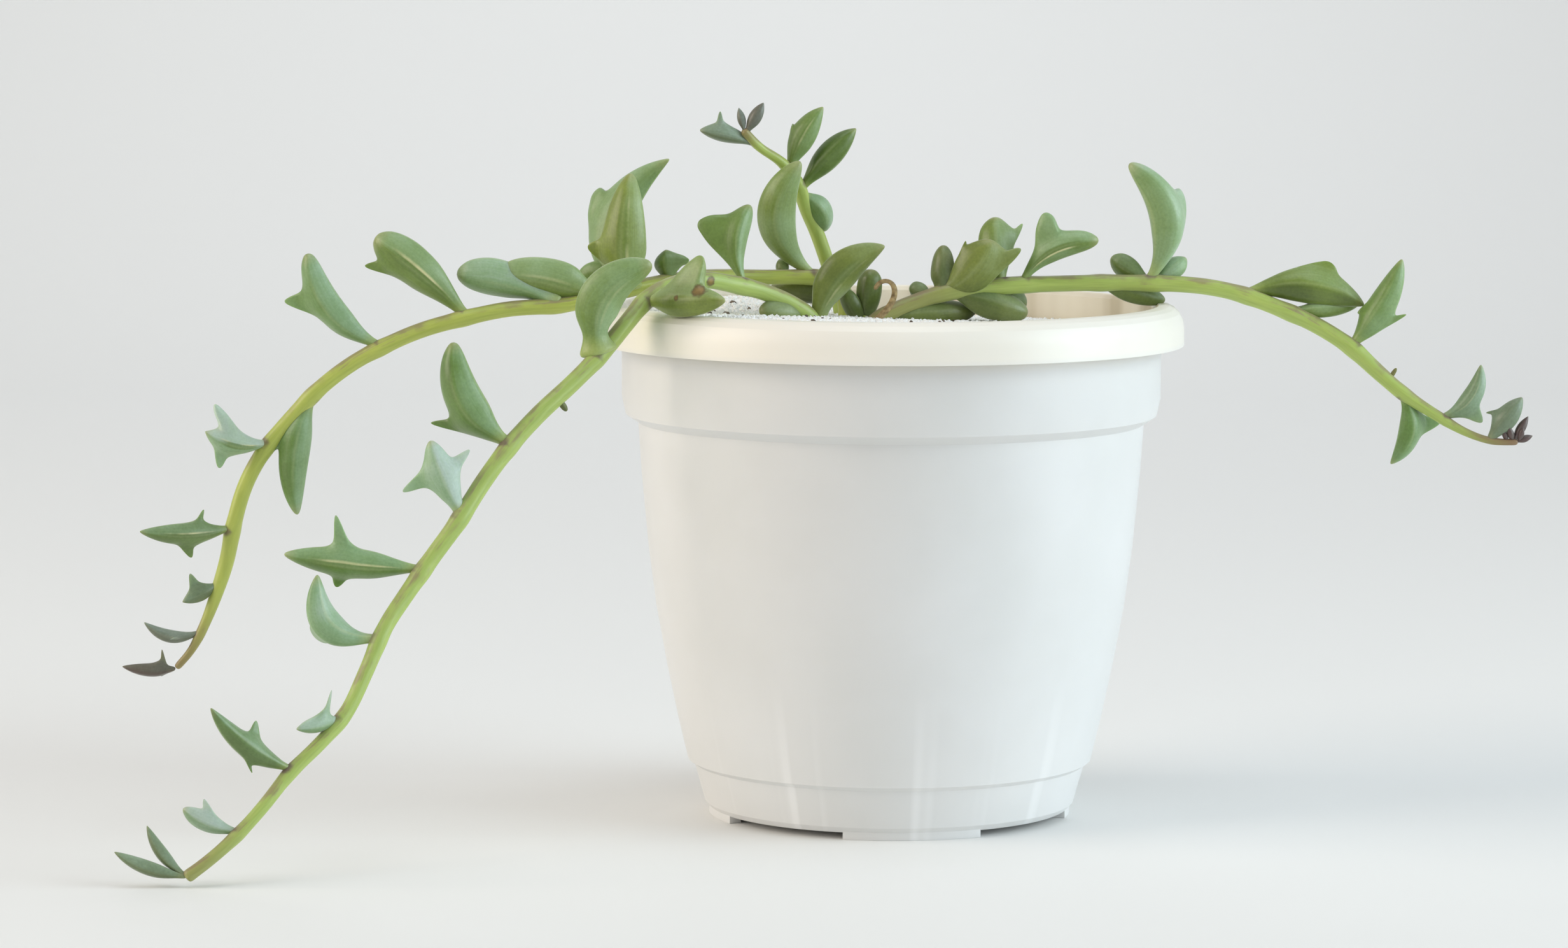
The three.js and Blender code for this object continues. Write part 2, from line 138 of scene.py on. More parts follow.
def linkMesh(name, bm, materials=()):
    mesh = bpy.data.meshes.new(name)
    bm.to_mesh(mesh)
    bm.free()
    for material in materials:
        mesh.materials.append(material)
    mesh.polygons.foreach_set("use_smooth", [True] * len(mesh.polygons))
    obj = bpy.data.objects.new(name, mesh)
    scene.collection.objects.link(obj)
    return obj


def addPiece(name, bm, materials, levels=0):
    bmesh.ops.recalc_face_normals(bm, faces=bm.faces)
    obj = linkMesh(name, bm, materials)
    if levels:
        modifier = obj.modifiers.new("smoothSkin", "SUBSURF")
        modifier.levels = levels
        modifier.render_levels = levels
    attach(obj, "root")
    return obj


# Materials
def addScar(tree, coords, under, scar):
    # A round brown mark with a ragged, darker rim, over the colour under it
    x, y, z, size = scar
    ragged = addNode(tree, "ShaderNodeTexNoise", {
        "Vector": coords, "Scale": 1 / (1.1 * mm), "Detail": 2})
    away = addNode(tree, "ShaderNodeVectorMath", {
        0: coords, 1: (x * mm, y * mm, z * mm)}, operation="DISTANCE")
    share = addNode(tree, "ShaderNodeMath", {0: away, 1: 0.5 / (size * mm)}, operation="MULTIPLY")
    edge = addNode(tree, "ShaderNodeMath", {0: ragged, 1: 0.5, 2: share}, operation="MULTIPLY_ADD")
    tint = addNode(tree, "ShaderNodeValToRGB", {"Fac": edge}, stops=[
        (0.3, "#9a7738"), (0.5, "#7d5e2b"), (0.7, "#55431f")])
    cover = addNode(tree, "ShaderNodeValToRGB", {"Fac": edge}, stops=[(0.62, 0.9), (0.8, 0.0)])
    return addNode(tree, "ShaderNodeMix", {"Factor": cover, 6: under, 7: tint}, data_type="RGBA")


def succulentSkin(scars):
    # A string of dolphins leaf: fleshy, satin and a little translucent. Fresh green shows where the
    # waxy bloom is thin and glaucous grey green where it lies thick; faces toward the lamps are
    # painted paler, as painted light. Edges are paler, partly their own margin and partly painted
    # light shining through them, foot and tip paler too, and some leaves have a darker window with a
    # cream rim.
    material, tree = newMaterial("waxySucculentLeaf")
    coords = addNode(tree, "ShaderNodeTexCoord").outputs["Object"]
    place = addNode(tree, "ShaderNodeAttribute", attribute_name="leafPlace").outputs["Vector"]
    look = addNode(tree, "ShaderNodeAttribute", attribute_name="leafLook").outputs["Vector"]
    sky = addNode(tree, "ShaderNodeAttribute", attribute_name="leafLightWarmMark").outputs["Vector"]
    along, back, side = addNode(tree, "ShaderNodeSeparateXYZ", {0: place}).outputs
    tone, young, old = addNode(tree, "ShaderNodeSeparateXYZ", {0: look}).outputs
    facingLamps, warm, mark = addNode(tree, "ShaderNodeSeparateXYZ", {0: sky}).outputs
    blotch = addNode(tree, "ShaderNodeTexNoise", {
        "Vector": coords, "Scale": 1 / (7 * mm), "Detail": 3, "Roughness": 0.5})
    speckle = addNode(tree, "ShaderNodeTexNoise", {
        "Vector": coords, "Scale": 1 / (0.45 * mm), "Detail": 2})
    lengthwise = addNode(tree, "ShaderNodeMapping", {"Vector": place, "Scale": (1.5, 7, 7)})
    streaks = addNode(tree, "ShaderNodeTexNoise", {
        "Vector": lengthwise, "Scale": 1.5, "Detail": 3, "Roughness": 0.6})

    # Bloom over green, patchy and streaked along the leaf, with painted light: faces toward the
    # lamps paler
    paintedLightShare = addNode(tree, "ShaderNodeMapRange", {
        "Value": facingLamps, "From Min": -0.4, "From Max": 0.7, "To Min": -0.14, "To Max": 0.13},
        interpolation_type="SMOOTHSTEP")
    patchy = addNode(tree, "ShaderNodeMapRange", {
        "Value": blotch, "From Min": 0.3, "From Max": 0.7, "To Min": -0.11, "To Max": 0.11})
    lined = addNode(tree, "ShaderNodeMapRange", {
        "Value": streaks, "From Min": 0.3, "From Max": 0.7, "To Min": -0.035, "To Max": 0.035})
    toneAndPaintedLight = addNode(tree, "ShaderNodeMath", {0: tone, 1: paintedLightShare}, operation="ADD")
    patched = addNode(tree, "ShaderNodeMath", {0: patchy, 1: lined}, operation="ADD")
    bloomAndPaintedLight = addNode(tree, "ShaderNodeMath", {
        0: toneAndPaintedLight, 1: patched}, operation="ADD", use_clamp=True)
    coolSkin = addNode(tree, "ShaderNodeValToRGB", {"Fac": bloomAndPaintedLight}, stops=[
        (0.0, "#4a6628"), (0.32, "#668845"), (0.66, "#8cac82"), (1.0, "#b9ccc0")])
    warmSkin = addNode(tree, "ShaderNodeValToRGB", {"Fac": bloomAndPaintedLight}, stops=[
        (0.0, "#56621f"), (0.32, "#84913a"), (0.66, "#9db079"), (1.0, "#bccbae")])
    skin = addNode(tree, "ShaderNodeMix", {
        "Factor": warm, 6: coolSkin, 7: warmSkin}, data_type="RGBA")

    # Window on the back, with a broken cream rim, and a faint painted highlight along the keel
    onBack = addNode(tree, "ShaderNodeMapRange", {"Value": back, "From Min": 0.3, "From Max": 0.7})
    inWindow = addNode(tree, "ShaderNodeMapRange", {
        "Value": side, "From Min": -0.3, "From Max": -0.1}, interpolation_type="SMOOTHSTEP")
    inside = addNode(tree, "ShaderNodeMapRange", {
        "Value": side, "From Min": 0.2, "From Max": 0.3, "To Min": 1.0, "To Max": 0.0},
        interpolation_type="SMOOTHSTEP")
    onRim = addNode(tree, "ShaderNodeValToRGB", {"Fac": side}, stops=[
        (0.16, 0.0), (0.23, 1.0), (0.27, 1.0), (0.36, 0.0)])
    reach = addNode(tree, "ShaderNodeValToRGB", {"Fac": along}, stops=[
        (0.16, 0.0), (0.3, 1.0), (0.68, 1.0), (0.84, 0.0)])
    broken = addNode(tree, "ShaderNodeMapRange", {
        "Value": blotch, "From Min": 0.36, "From Max": 0.56})
    shown = addNode(tree, "ShaderNodeMath", {0: onBack, 1: reach}, operation="MULTIPLY")
    marked = addNode(tree, "ShaderNodeMath", {0: shown, 1: mark}, operation="MULTIPLY")
    windowShare = addNode(tree, "ShaderNodeMath", {0: inWindow, 1: marked}, operation="MULTIPLY")
    windowFade = addNode(tree, "ShaderNodeMath", {0: windowShare, 1: inside}, operation="MULTIPLY")
    rimShare = addNode(tree, "ShaderNodeMath", {0: onRim, 1: marked}, operation="MULTIPLY")
    rimBroken = addNode(tree, "ShaderNodeMath", {0: rimShare, 1: broken}, operation="MULTIPLY")
    across = addNode(tree, "ShaderNodeMath", {0: side}, operation="ABSOLUTE")
    # A painted highlight along the keel ridge
    keelHighlight = addNode(tree, "ShaderNodeValToRGB", {"Fac": across}, stops=[
        (0.0, 0.16), (0.05, 0.1), (0.16, 0.0)])
    keelHighlightShare = addNode(tree, "ShaderNodeMath", {0: keelHighlight, 1: shown}, operation="MULTIPLY")

    # Pale edges, partly the leaf's own paler margin and partly painted light shining through the
    # thin edge; pale tip and foot
    edge = addNode(tree, "ShaderNodeMath", {0: back}, operation="ABSOLUTE")
    edgeAndGlowShare = addNode(tree, "ShaderNodeMapRange", {
        "Value": edge, "From Min": 0.0, "From Max": 0.3, "To Min": 0.3, "To Max": 0.0},
        interpolation_type="SMOOTHSTEP")
    tipShare = addNode(tree, "ShaderNodeMapRange", {
        "Value": along, "From Min": 0.9, "From Max": 1.0, "To Min": 0.0, "To Max": 0.5})
    footShare = addNode(tree, "ShaderNodeMapRange", {
        "Value": along, "From Min": 0.02, "From Max": 0.2, "To Min": 0.75, "To Max": 0.0},
        interpolation_type="SMOOTHSTEP")

    # Young leaves are grey and purple, old ones at the soil olive brown
    youngColour = addNode(tree, "ShaderNodeValToRGB", {"Fac": bloomAndPaintedLight}, stops=[
        (0.05, "#5a4845"), (0.3, "#66625c"), (0.6, "#78807a"), (0.9, "#9ba39f")])
    oldColour = addNode(tree, "ShaderNodeValToRGB", {"Fac": blotch}, stops=[
        (0.35, "#4d4f24"), (0.65, "#77743f")])

    # One over the other: window, rim, painted keel highlight, edges partly painted light, tip, foot,
    # age, scars and a dusty bloom
    colour = skin
    for share, cover in [
            (windowFade, "#66803a"), (rimBroken, "#dcd9a6"), (keelHighlightShare, "#c3cd98"),
            (edgeAndGlowShare, "#b7c092"), (tipShare, "#a9a878"), (footShare, "#aab869"),
            (young, youngColour), (old, oldColour)]:
        colour = addNode(tree, "ShaderNodeMix", {
            "Factor": share, 6: colour, 7: cover}, data_type="RGBA")
    for scar in scars:
        colour = addScar(tree, coords, colour, scar)
    dusted = addNode(tree, "ShaderNodeMix", {
        "Factor": 0.28, 6: colour, 7: speckle}, data_type="RGBA", blend_type="SOFT_LIGHT")

    pebbled = addNode(tree, "ShaderNodeBump", {
        "Height": speckle, "Strength": 0.08, "Distance": 0.1 * mm})
    ribbed = addNode(tree, "ShaderNodeBump", {
        "Height": streaks, "Strength": 0.1, "Distance": 0.3 * mm, "Normal": pebbled})
    uneven = addNode(tree, "ShaderNodeBump", {
        "Height": blotch, "Strength": 0.4, "Distance": 0.8 * mm, "Normal": ribbed})
    sheen = addNode(tree, "ShaderNodeMapRange", {"Value": bloomAndPaintedLight, "To Min": 0.3, "To Max": 0.46})
    shader = addNode(tree, "ShaderNodeBsdfPrincipled", {
        "Base Color": dusted, "Roughness": sheen, "IOR": 1.45, "Subsurface Weight": 0.25,
        "Subsurface Radius": (0.8, 1.0, 0.4), "Subsurface Scale": 1.4 * mm, "Sheen Weight": 0.22,
        "Sheen Roughness": 0.45, "Sheen Tint": (0.86, 0.95, 0.88, 1), "Coat Weight": 0.16,
        "Coat Roughness": 0.28, "Normal": uneven})
    addNode(tree, "ShaderNodeOutputMaterial", {"Surface": shader})
    return material


def succulentStem(scars):
    # A fleshy stem's skin: juicy yellow green with fine lines along it, streaked purple brown on its
    # sunny upper side, and with a purple patch under each leaf.
    material, tree = newMaterial("greenSucculentStem")
    coords = addNode(tree, "ShaderNodeTexCoord").outputs["Object"]
    place = addNode(tree, "ShaderNodeAttribute", attribute_name="stemPlace").outputs["Vector"]
    look = addNode(tree, "ShaderNodeAttribute", attribute_name="stemLook").outputs["Vector"]
    upward = addNode(tree, "ShaderNodeSeparateXYZ", {0: place}).outputs[0]
    node, tone, young = addNode(tree, "ShaderNodeSeparateXYZ", {0: look}).outputs
    longer = addNode(tree, "ShaderNodeMapping", {"Vector": place, "Scale": (2.2, 2.2, 0.3)})
    streaks = addNode(tree, "ShaderNodeTexNoise", {
        "Vector": longer, "Scale": 1.8, "Detail": 3, "Roughness": 0.55})
    cloud = addNode(tree, "ShaderNodeTexNoise", {
        "Vector": coords, "Scale": 1 / (3.5 * mm), "Detail": 3})
    green = addNode(tree, "ShaderNodeMix", {
        "Factor": tone, 6: "#bbc45d", 7: "#a8c26d"}, data_type="RGBA")
    deep = addNode(tree, "ShaderNodeMix", {
        "Factor": tone, 6: "#98a546", 7: "#88a454"}, data_type="RGBA")
    lineShare = addNode(tree, "ShaderNodeMapRange", {
        "Value": streaks, "From Min": 0.34, "From Max": 0.66, "To Min": 0.45, "To Max": 0.0})
    clouded = addNode(tree, "ShaderNodeMath", {
        0: cloud, 1: 0.75, 2: streaks}, operation="MULTIPLY_ADD")
    sunny = addNode(tree, "ShaderNodeMath", {
        0: upward, 1: 0.42, 2: clouded}, operation="MULTIPLY_ADD")
    sunnyShare = addNode(tree, "ShaderNodeMapRange", {
        "Value": sunny, "From Min": 0.98, "From Max": 1.32, "To Max": 0.7},
        interpolation_type="SMOOTHSTEP")
    nodeEdge = addNode(tree, "ShaderNodeMath", {
        0: node, 1: 1.5, 2: cloud}, operation="MULTIPLY_ADD")
    nodeShare = addNode(tree, "ShaderNodeMapRange", {
        "Value": nodeEdge, "From Min": 1.15, "From Max": 1.7, "To Max": 0.7},
        interpolation_type="SMOOTHSTEP")
    colour = green
    for share, cover in [(lineShare, deep), (sunnyShare, "#8d7a63"), (nodeShare, "#65484f"),
                         (young, "#8a7052")]:
        colour = addNode(tree, "ShaderNodeMix", {
            "Factor": share, 6: colour, 7: cover}, data_type="RGBA")
    for scar in scars:
        colour = addScar(tree, coords, colour, scar)
    relief = addNode(tree, "ShaderNodeBump", {
        "Height": streaks, "Strength": 0.18, "Distance": 0.25 * mm})
    shader = addNode(tree, "ShaderNodeBsdfPrincipled", {
        "Base Color": colour, "Roughness": 0.38, "IOR": 1.45, "Subsurface Weight": 0.25,
        "Subsurface Radius": (0.9, 1.0, 0.4), "Subsurface Scale": 1.2 * mm, "Sheen Weight": 0.12,
        "Sheen Roughness": 0.5, "Coat Weight": 0.12, "Coat Roughness": 0.3, "Normal": relief})
    addNode(tree, "ShaderNodeOutputMaterial", {"Surface": shader})
    return material


def mouldedPot():
    # Injection-moulded polypropylene: white, satin and slightly translucent, with the thin rim
    # painted a creamier white as painted light coming through it.
    material, tree = newMaterial("mouldedPolypropylene")
    coords = addNode(tree, "ShaderNodeTexCoord").outputs["Object"]
    cloud = addNode(tree, "ShaderNodeTexNoise", {
        "Vector": coords, "Scale": 1 / (28 * mm), "Detail": 3})
    body = addNode(tree, "ShaderNodeValToRGB", {"Fac": cloud}, stops=[
        (0.3, "#dededc"), (0.7, "#e5e5e4")])
    # Painted light: the thin rim painted creamier, for light coming through it
    rimGlow = addNode(tree, "ShaderNodeValToRGB", {"Fac": cloud}, stops=[
        (0.3, "#f0ebdf"), (0.7, "#f4f0e6")])
    height = addNode(tree, "ShaderNodeSeparateXYZ", {0: coords}).outputs[2]
    nearRim = addNode(tree, "ShaderNodeMapRange", {
        "Value": height, "From Min": 87 * mm, "From Max": 90 * mm})
    # Painted light: faint paler streaks of light run up from the foot of the body
    level = addNode(tree, "ShaderNodeVectorMath", {0: coords, 1: (1, 1, 0)}, operation="MULTIPLY")
    around = addNode(tree, "ShaderNodeVectorMath", {0: level}, operation="NORMALIZE")
    bodyRadius, bandWide = 45, 6  # millimetres
    lightStreakAndWallBands = addNode(tree, "ShaderNodeTexNoise", {
        "Vector": around, "Scale": bodyRadius / bandWide, "Detail": 1})
    lightStreakMask = addNode(tree, "ShaderNodeMapRange", {"Value": lightStreakAndWallBands, "From Min": 0.58, "From Max": 0.7})
    low = addNode(tree, "ShaderNodeMapRange", {
        "Value": height, "From Min": 30 * mm, "From Max": 8 * mm})
    paintedLightStreak = addNode(tree, "ShaderNodeMath", {0: lightStreakMask, 1: low}, operation="MULTIPLY")
    # The wall inside, above the grit, is beige, darker in bands
    radius = addNode(tree, "ShaderNodeVectorMath", {0: level}, operation="LENGTH")
    inward = addNode(tree, "ShaderNodeMapRange", {
        "Value": radius, "From Min": 50.3 * mm, "From Max": 49.9 * mm})
    high = addNode(tree, "ShaderNodeMapRange", {
        "Value": height, "From Min": 80 * mm, "From Max": 82 * mm})
    within = addNode(tree, "ShaderNodeMath", {0: inward, 1: high}, operation="MULTIPLY")
    innerWallTint = addNode(tree, "ShaderNodeValToRGB", {"Fac": lightStreakAndWallBands}, stops=[
        (0.36, "#c4b9a0"), (0.5, "#ddd4c0"), (0.7, "#e6decb")])
    colour = body
    for share, cover in [(paintedLightStreak, "#ededec"), (nearRim, rimGlow), (within, innerWallTint)]:
        colour = addNode(tree, "ShaderNodeMix", {
            "Factor": share, 6: colour, 7: cover}, data_type="RGBA")
    peel = addNode(tree, "ShaderNodeTexNoise", {
        "Vector": coords, "Scale": 1 / (1.2 * mm), "Detail": 2})
    relief = addNode(tree, "ShaderNodeBump", {
        "Height": peel, "Strength": 0.06, "Distance": 0.05 * mm})
    shader = addNode(tree, "ShaderNodeBsdfPrincipled", {
        "Base Color": colour, "Roughness": 0.36, "IOR": 1.49, "Subsurface Weight": 0.2,
        "Subsurface Radius": (1.0, 0.95, 0.85), "Subsurface Scale": 2 * mm, "Normal": relief})
    addNode(tree, "ShaderNodeOutputMaterial", {"Surface": shader})
    return material


def dullMatter(name, dark, pale, form):
    # Matt and uneven matter, with each fibre or grain of its own shade
    material, tree = newMaterial(name)
    coords = addNode(tree, "ShaderNodeTexCoord").outputs["Object"]
    shade = addNode(tree, "ShaderNodeTexNoise", {
        "Vector": coords, "Scale": 1 / (form["grain"] * mm), "Detail": form["detail"]})
    colour = addNode(tree, "ShaderNodeValToRGB", {"Fac": shade}, stops=[(0.3, dark), (0.7, pale)])
    relief = addNode(tree, "ShaderNodeBump", {
        "Height": shade, "Strength": form["relief"], "Distance": 0.2 * mm})
    shader = addNode(tree, "ShaderNodeBsdfPrincipled", {
        "Base Color": colour, "Roughness": form["rough"], "Normal": relief})
    addNode(tree, "ShaderNodeOutputMaterial", {"Surface": shader})
    return material


scars = {  # x, y, z and radius
    "leaf": [(-35.4, -39, 101.1, 1.5), (-39.6, -37.6, 99.8, 0.6)],
    "stem": [(-33.6, -23.2, 101.9, 1)],
}
leafSkin = succulentSkin(scars["leaf"])
stemSkin = succulentStem(scars["stem"])
potPlastic = mouldedPot()
# A withered shoot is fibrous and straw brown. Crushed mineral grit and damp peat are duller still,
# and crumbly.
fibrous = {"grain": 0.8, "detail": 4, "relief": 0.5, "rough": 0.75}
crumbly = {"grain": 1.4, "detail": 3, "relief": 0.4, "rough": 0.85}
witheredSkin = dullMatter("dryStem", "#6f5a38", "#b19a6c", fibrous)
whiteStone = dullMatter("whiteMineralGrit", "#e9e8e4", "#fafaf8", crumbly)
darkStone = dullMatter("darkMineralGrit", "#473d33", "#75685a", crumbly)
pottingSoil = dullMatter("dampPottingMix", "#1f1611", "#4a382a", crumbly)
print("materials made")

# The pot: one moulding, turned about Z, with feet and drainage holes
pot = {
    "outside": [
        (0, 1.3), (34, 1.3), (35, 2.4), (37, 9.6), (38.2, 10.4), (40, 18), (42.1, 28),
        (44.2, 39.5), (45.7, 51), (47, 65), (47.6, 74.2), (50, 75.8), (50.7, 79), (50.7, 94.4),
        (53.7, 94.4), (53.7, 89), (55, 89), (55, 92.4), (54.7, 93.8), (54.1, 95), (53.2, 95.9),
        (52.2, 96.4), (51.4, 96.5)],
    "inside": [
        (50.2, 96.5), (49.4, 95.6), (49.4, 79), (46.3, 75.2), (45.7, 65), (44.4, 51),
        (42.9, 39.5), (40.8, 28), (38.7, 18), (36, 9.6), (34, 2.6), (0, 2.6)],
    "segments": 160,
    "feet": {"count": 4, "inner": 31.8, "outer": 34.2, "low": 0.0, "high": 1.95, "arc": 44,
             "turn": -83.5, "steps": 20},
    "drains": {"count": 4, "circle": 24, "radius": 3.5, "segments": 32, "depth": 10},
    "softEdge": {"width": 0.35, "steps": 3, "sharperThan": 18},
}


def turned(outline, segments, angle=2 * math.pi, closed=True):
    bm = bmesh.new()
    verts = [bm.verts.new((radius * mm, 0, height * mm)) for radius, height in outline]
    pairs = list(zip(verts, verts[1:])) + ([(verts[-1], verts[0])] if closed else [])
    edges = [bm.edges.new(pair) for pair in pairs]
    full = angle >= 2 * math.pi
    bmesh.ops.spin(bm, geom=verts + edges, cent=(0, 0, 0), axis=(0, 0, 1), angle=angle,
                   steps=segments, use_merge=full)
    bmesh.ops.remove_doubles(bm, verts=bm.verts, dist=1e-6)
    return bm


def cutOrJoin(obj, bm, operation):
    bmesh.ops.recalc_face_normals(bm, faces=bm.faces)
    tool = linkMesh("tool", bm)
    modifier = obj.modifiers.new("tool", "BOOLEAN")
    modifier.operation = operation
    modifier.solver = "EXACT"
    modifier.object = tool
    bpy.context.view_layer.update()
    graph = bpy.context.evaluated_depsgraph_get()
    shaped = bpy.data.meshes.new_from_object(obj.evaluated_get(graph))
    obj.modifiers.remove(modifier)
    obj.data = shaped
    bpy.data.objects.remove(tool)


def makePot(plan):
    bm = turned(plan["outside"] + plan["inside"], plan["segments"], closed=False)
    obj = addPiece("nurseryPot", bm, [potPlastic])
    feet = plan["feet"]
    for i in range(feet["count"]):
        start = math.radians(feet["turn"] + i * 360 / feet["count"] - feet["arc"] / 2)
        section = [(feet["inner"], feet["low"]), (feet["outer"], feet["low"]),
                   (feet["outer"], feet["high"]), (feet["inner"], feet["high"])]
        foot = turned(section, feet["steps"], math.radians(feet["arc"]))
        bmesh.ops.holes_fill(foot, edges=foot.edges)
        bmesh.ops.rotate(foot, verts=foot.verts, matrix=Matrix.Rotation(start, 3, "Z"))
        cutOrJoin(obj, foot, "UNION")
    drains = plan["drains"]
    for i in range(drains["count"]):
        angle = math.radians(feet["turn"] + (i + 0.5) * 360 / drains["count"])
        place = Vector((math.cos(angle), math.sin(angle), 0)) * drains["circle"] * mm
        drain = bmesh.new()
        bmesh.ops.create_cone(drain, cap_ends=True, segments=drains["segments"],
                              radius1=drains["radius"] * mm, radius2=drains["radius"] * mm,
                              depth=drains["depth"] * mm, matrix=Matrix.Translation(place))
        cutOrJoin(obj, drain, "DIFFERENCE")
    obj.data.polygons.foreach_set("use_smooth", [True] * len(obj.data.polygons))
    edges = obj.modifiers.new("softEdges", "BEVEL")
    edges.width = plan["softEdge"]["width"] * mm
    edges.segments = plan["softEdge"]["steps"]
    edges.limit_method = "ANGLE"
    edges.angle_limit = math.radians(plan["softEdge"]["sharperThan"])
    edges.harden_normals = True
    return obj


potPiece = makePot(pot)
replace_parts(potPiece, "pot")
frame["nodes"]["potting_mix"].data.materials.clear()
frame["nodes"]["potting_mix"].data.materials.append(pottingSoil)
print("pot made")

# The grit: a bed with loose grains on it
grit = {
    "top": 93.4,
    "bottom": 88.3,
    "radius": 49,
    "slope": (-0.03, -0.05),
    "heap": {"x": -27, "y": 32, "height": 2.6, "spread": 15},
    "segments": 96,
    "rings": 30,
    "ripple": {"height": 0.45, "wide": 1.7, "slice": 3},
    "seed": 11,
    "grains": 8200,
    "grainKinds": 6,
    "grainSize": (0.16, 0.46),
    "grainStretch": (0.6, 1.2),
    "grainDent": 0.2,
    "grainTurn": 6.3,  # radians
    "grainProud": 0.25,
    "wallGap": 0.6,
    "darkShare": 0.011,
    "darkGrowth": 1.6,
}


def gritHeight(x, y):
    heap = grit["heap"]
    away = math.hypot(x - heap["x"], y - heap["y"]) / heap["spread"]
    top = grit["top"] + grit["slope"][0] * x + grit["slope"][1] * y
    return top + heap["height"] * math.exp(-away * away)


def grainMesh(draw, dark, dent):
    bm = bmesh.new()
    made = bmesh.ops.create_icosphere(bm, subdivisions=1, radius=1)["verts"]
    for vert in made:
        vert.co += Vector([draw.uniform(-dent, dent) for _ in range(3)])
    for face in bm.faces:
        face.material_index = dark
    mesh = bpy.data.meshes.new("grain")
    bm.to_mesh(mesh)
    bm.free()
    return mesh


def pullOut(bm, faces, first=False):
    # All but the first time, the old faces go, or they would stay inside the shape
    made = bmesh.ops.extrude_face_region(bm, geom=faces)["geom"]
    if not first:
        bmesh.ops.delete(bm, geom=faces, context="FACES")
    verts = [g for g in made if isinstance(g, bmesh.types.BMVert)]
    return verts, [g for g in made if isinstance(g, bmesh.types.BMFace)]


def makeGrit(plan):
    draw = random.Random(plan["seed"])
    ripple, kindCount = plan["ripple"], plan["grainKinds"]
    bm = bmesh.new()
    made = bmesh.ops.create_circle(bm, cap_ends=True, segments=plan["segments"],
                                   radius=plan["radius"] * mm,
                                   matrix=Matrix.Translation((0, 0, plan["bottom"] * mm)))
    face = made["verts"][0].link_faces[0]
    for ring in range(plan["rings"]):
        radius = plan["radius"] * (1 - ring / plan["rings"])
        _, (face,) = pullOut(bm, [face], first=ring == 0)
        for vert in face.verts:
            flat = Vector((vert.co.x, vert.co.y, 0)).normalized() * radius
            height = gritHeight(flat.x, flat.y)
            spot = Vector((flat.x, flat.y, ripple["slice"])) / ripple["wide"]
            height += ripple["height"] * noise.noise(spot)
            vert.co = Vector((flat.x, flat.y, height)) * mm
    bmesh.ops.poke(bm, faces=[face])
    kinds = [grainMesh(draw, dark, plan["grainDent"]) for dark in (0, 1)
             for _ in range(kindCount)]
    for _ in range(plan["grains"]):
        radius = (plan["radius"] - plan["wallGap"]) * math.sqrt(draw.random())
        angle = draw.uniform(0, 2 * math.pi)
        x, y = radius * math.cos(angle), radius * math.sin(angle)
        dark = draw.random() < plan["darkShare"]
        size = draw.uniform(*plan["grainSize"]) * (plan["darkGrowth"] if dark else 1)
        place = Vector((x, y, gritHeight(x, y) + plan["grainProud"] * size)) * mm
        turn = Euler([draw.uniform(0, plan["grainTurn"]) for _ in range(3)]).to_matrix()
        shape = Matrix.Diagonal([size * draw.uniform(*plan["grainStretch"]) * mm
                                 for _ in range(3)]).to_4x4()
        kind = kinds[draw.randrange(kindCount) + dark * kindCount].copy()
        kind.transform(Matrix.Translation(place) @ turn.to_4x4() @ shape)
        bm.from_mesh(kind)
        bpy.data.meshes.remove(kind)
    for kind in kinds:
        bpy.data.meshes.remove(kind)
    return addPiece("whiteGrit", bm, [whiteStone, darkStone])


gritPiece = makeGrit(grit)
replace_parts(gritPiece, "white_grit")
print("grit made")

# Leaves and stems. A leaf starts on its stem's axis, "at" millimetres along it. Its chord points
# "aim" degrees round in the picture plane, from +X towards +Z, and leans towards the viewer. Its
# middle is bowed "curve" to the left of that and "arch" towards the viewer, and its back is "turn"
# degrees round from the left towards the viewer. It is widest at its belly. Its fins stand on the
# right and left, as seen from its back. Tone is its bloom, and young and old its age.
plainLeaf = {
    "lean": 0, "curve": 0, "arch": 0, "turn": 70, "wide": 6, "deep": 5, "belly": 0.5,
    "right": None, "left": None, "foot": 0.24, "tip": 0.2, "tone": 0.45, "warm": 0.25, "mark": 0,
    "young": 0, "old": 0,
}
plainFin = {"share": 0.5, "reach": 4, "sweep": 0.8, "root": 5, "blunt": 0.2}
leafForm = {
    "sides": 12,
    "step": 1.5,
    "fewestSteps": 7,
    "backShare": 0.44,
    "bellyShare": 0.56,
    "footFlare": 1.25,  # a foot is this much wider at the stem
    "footLong": 0.1,
    "towardBelly": [(0.35, 0.48), (0.7, 0.88), (1, 1)],
    "towardSharpTip": [(0, 1), (0.25, 0.94), (0.55, 0.72), (0.8, 0.4), (0.93, 0.17), (1, 0.03)],
    "towardBluntTip": [(0, 1), (0.25, 1), (0.55, 0.96), (0.8, 0.84), (0.93, 0.66), (1, 0.4)],
    "keel": 1.1,
    "keelWithin": 0.9,  # cosine of how far the keel reaches round the back
    "lens": 1.4,  # over 1 gives the leaf an edge at each side
    "facet": 0.4,  # under 1 turns the painted light quickly where the keel is
    "backTurn": 0.7,
    # Painted light: leaf faces turned this way are painted paler
    "paintedLightToward": (0.72, -0.08, 0.69),
    "finSwell": 0.34,
    "finRoot": 0.6,  # share of the root that is pulled out of the leaf
    "wideFin": 0.4,  # a fin blunter than this is three faces wide
    "finSteps": [(0.4, 0.66, 0.92), (0.76, 0.4, 0.8), (1.04, 0.12, 0.42)],
}
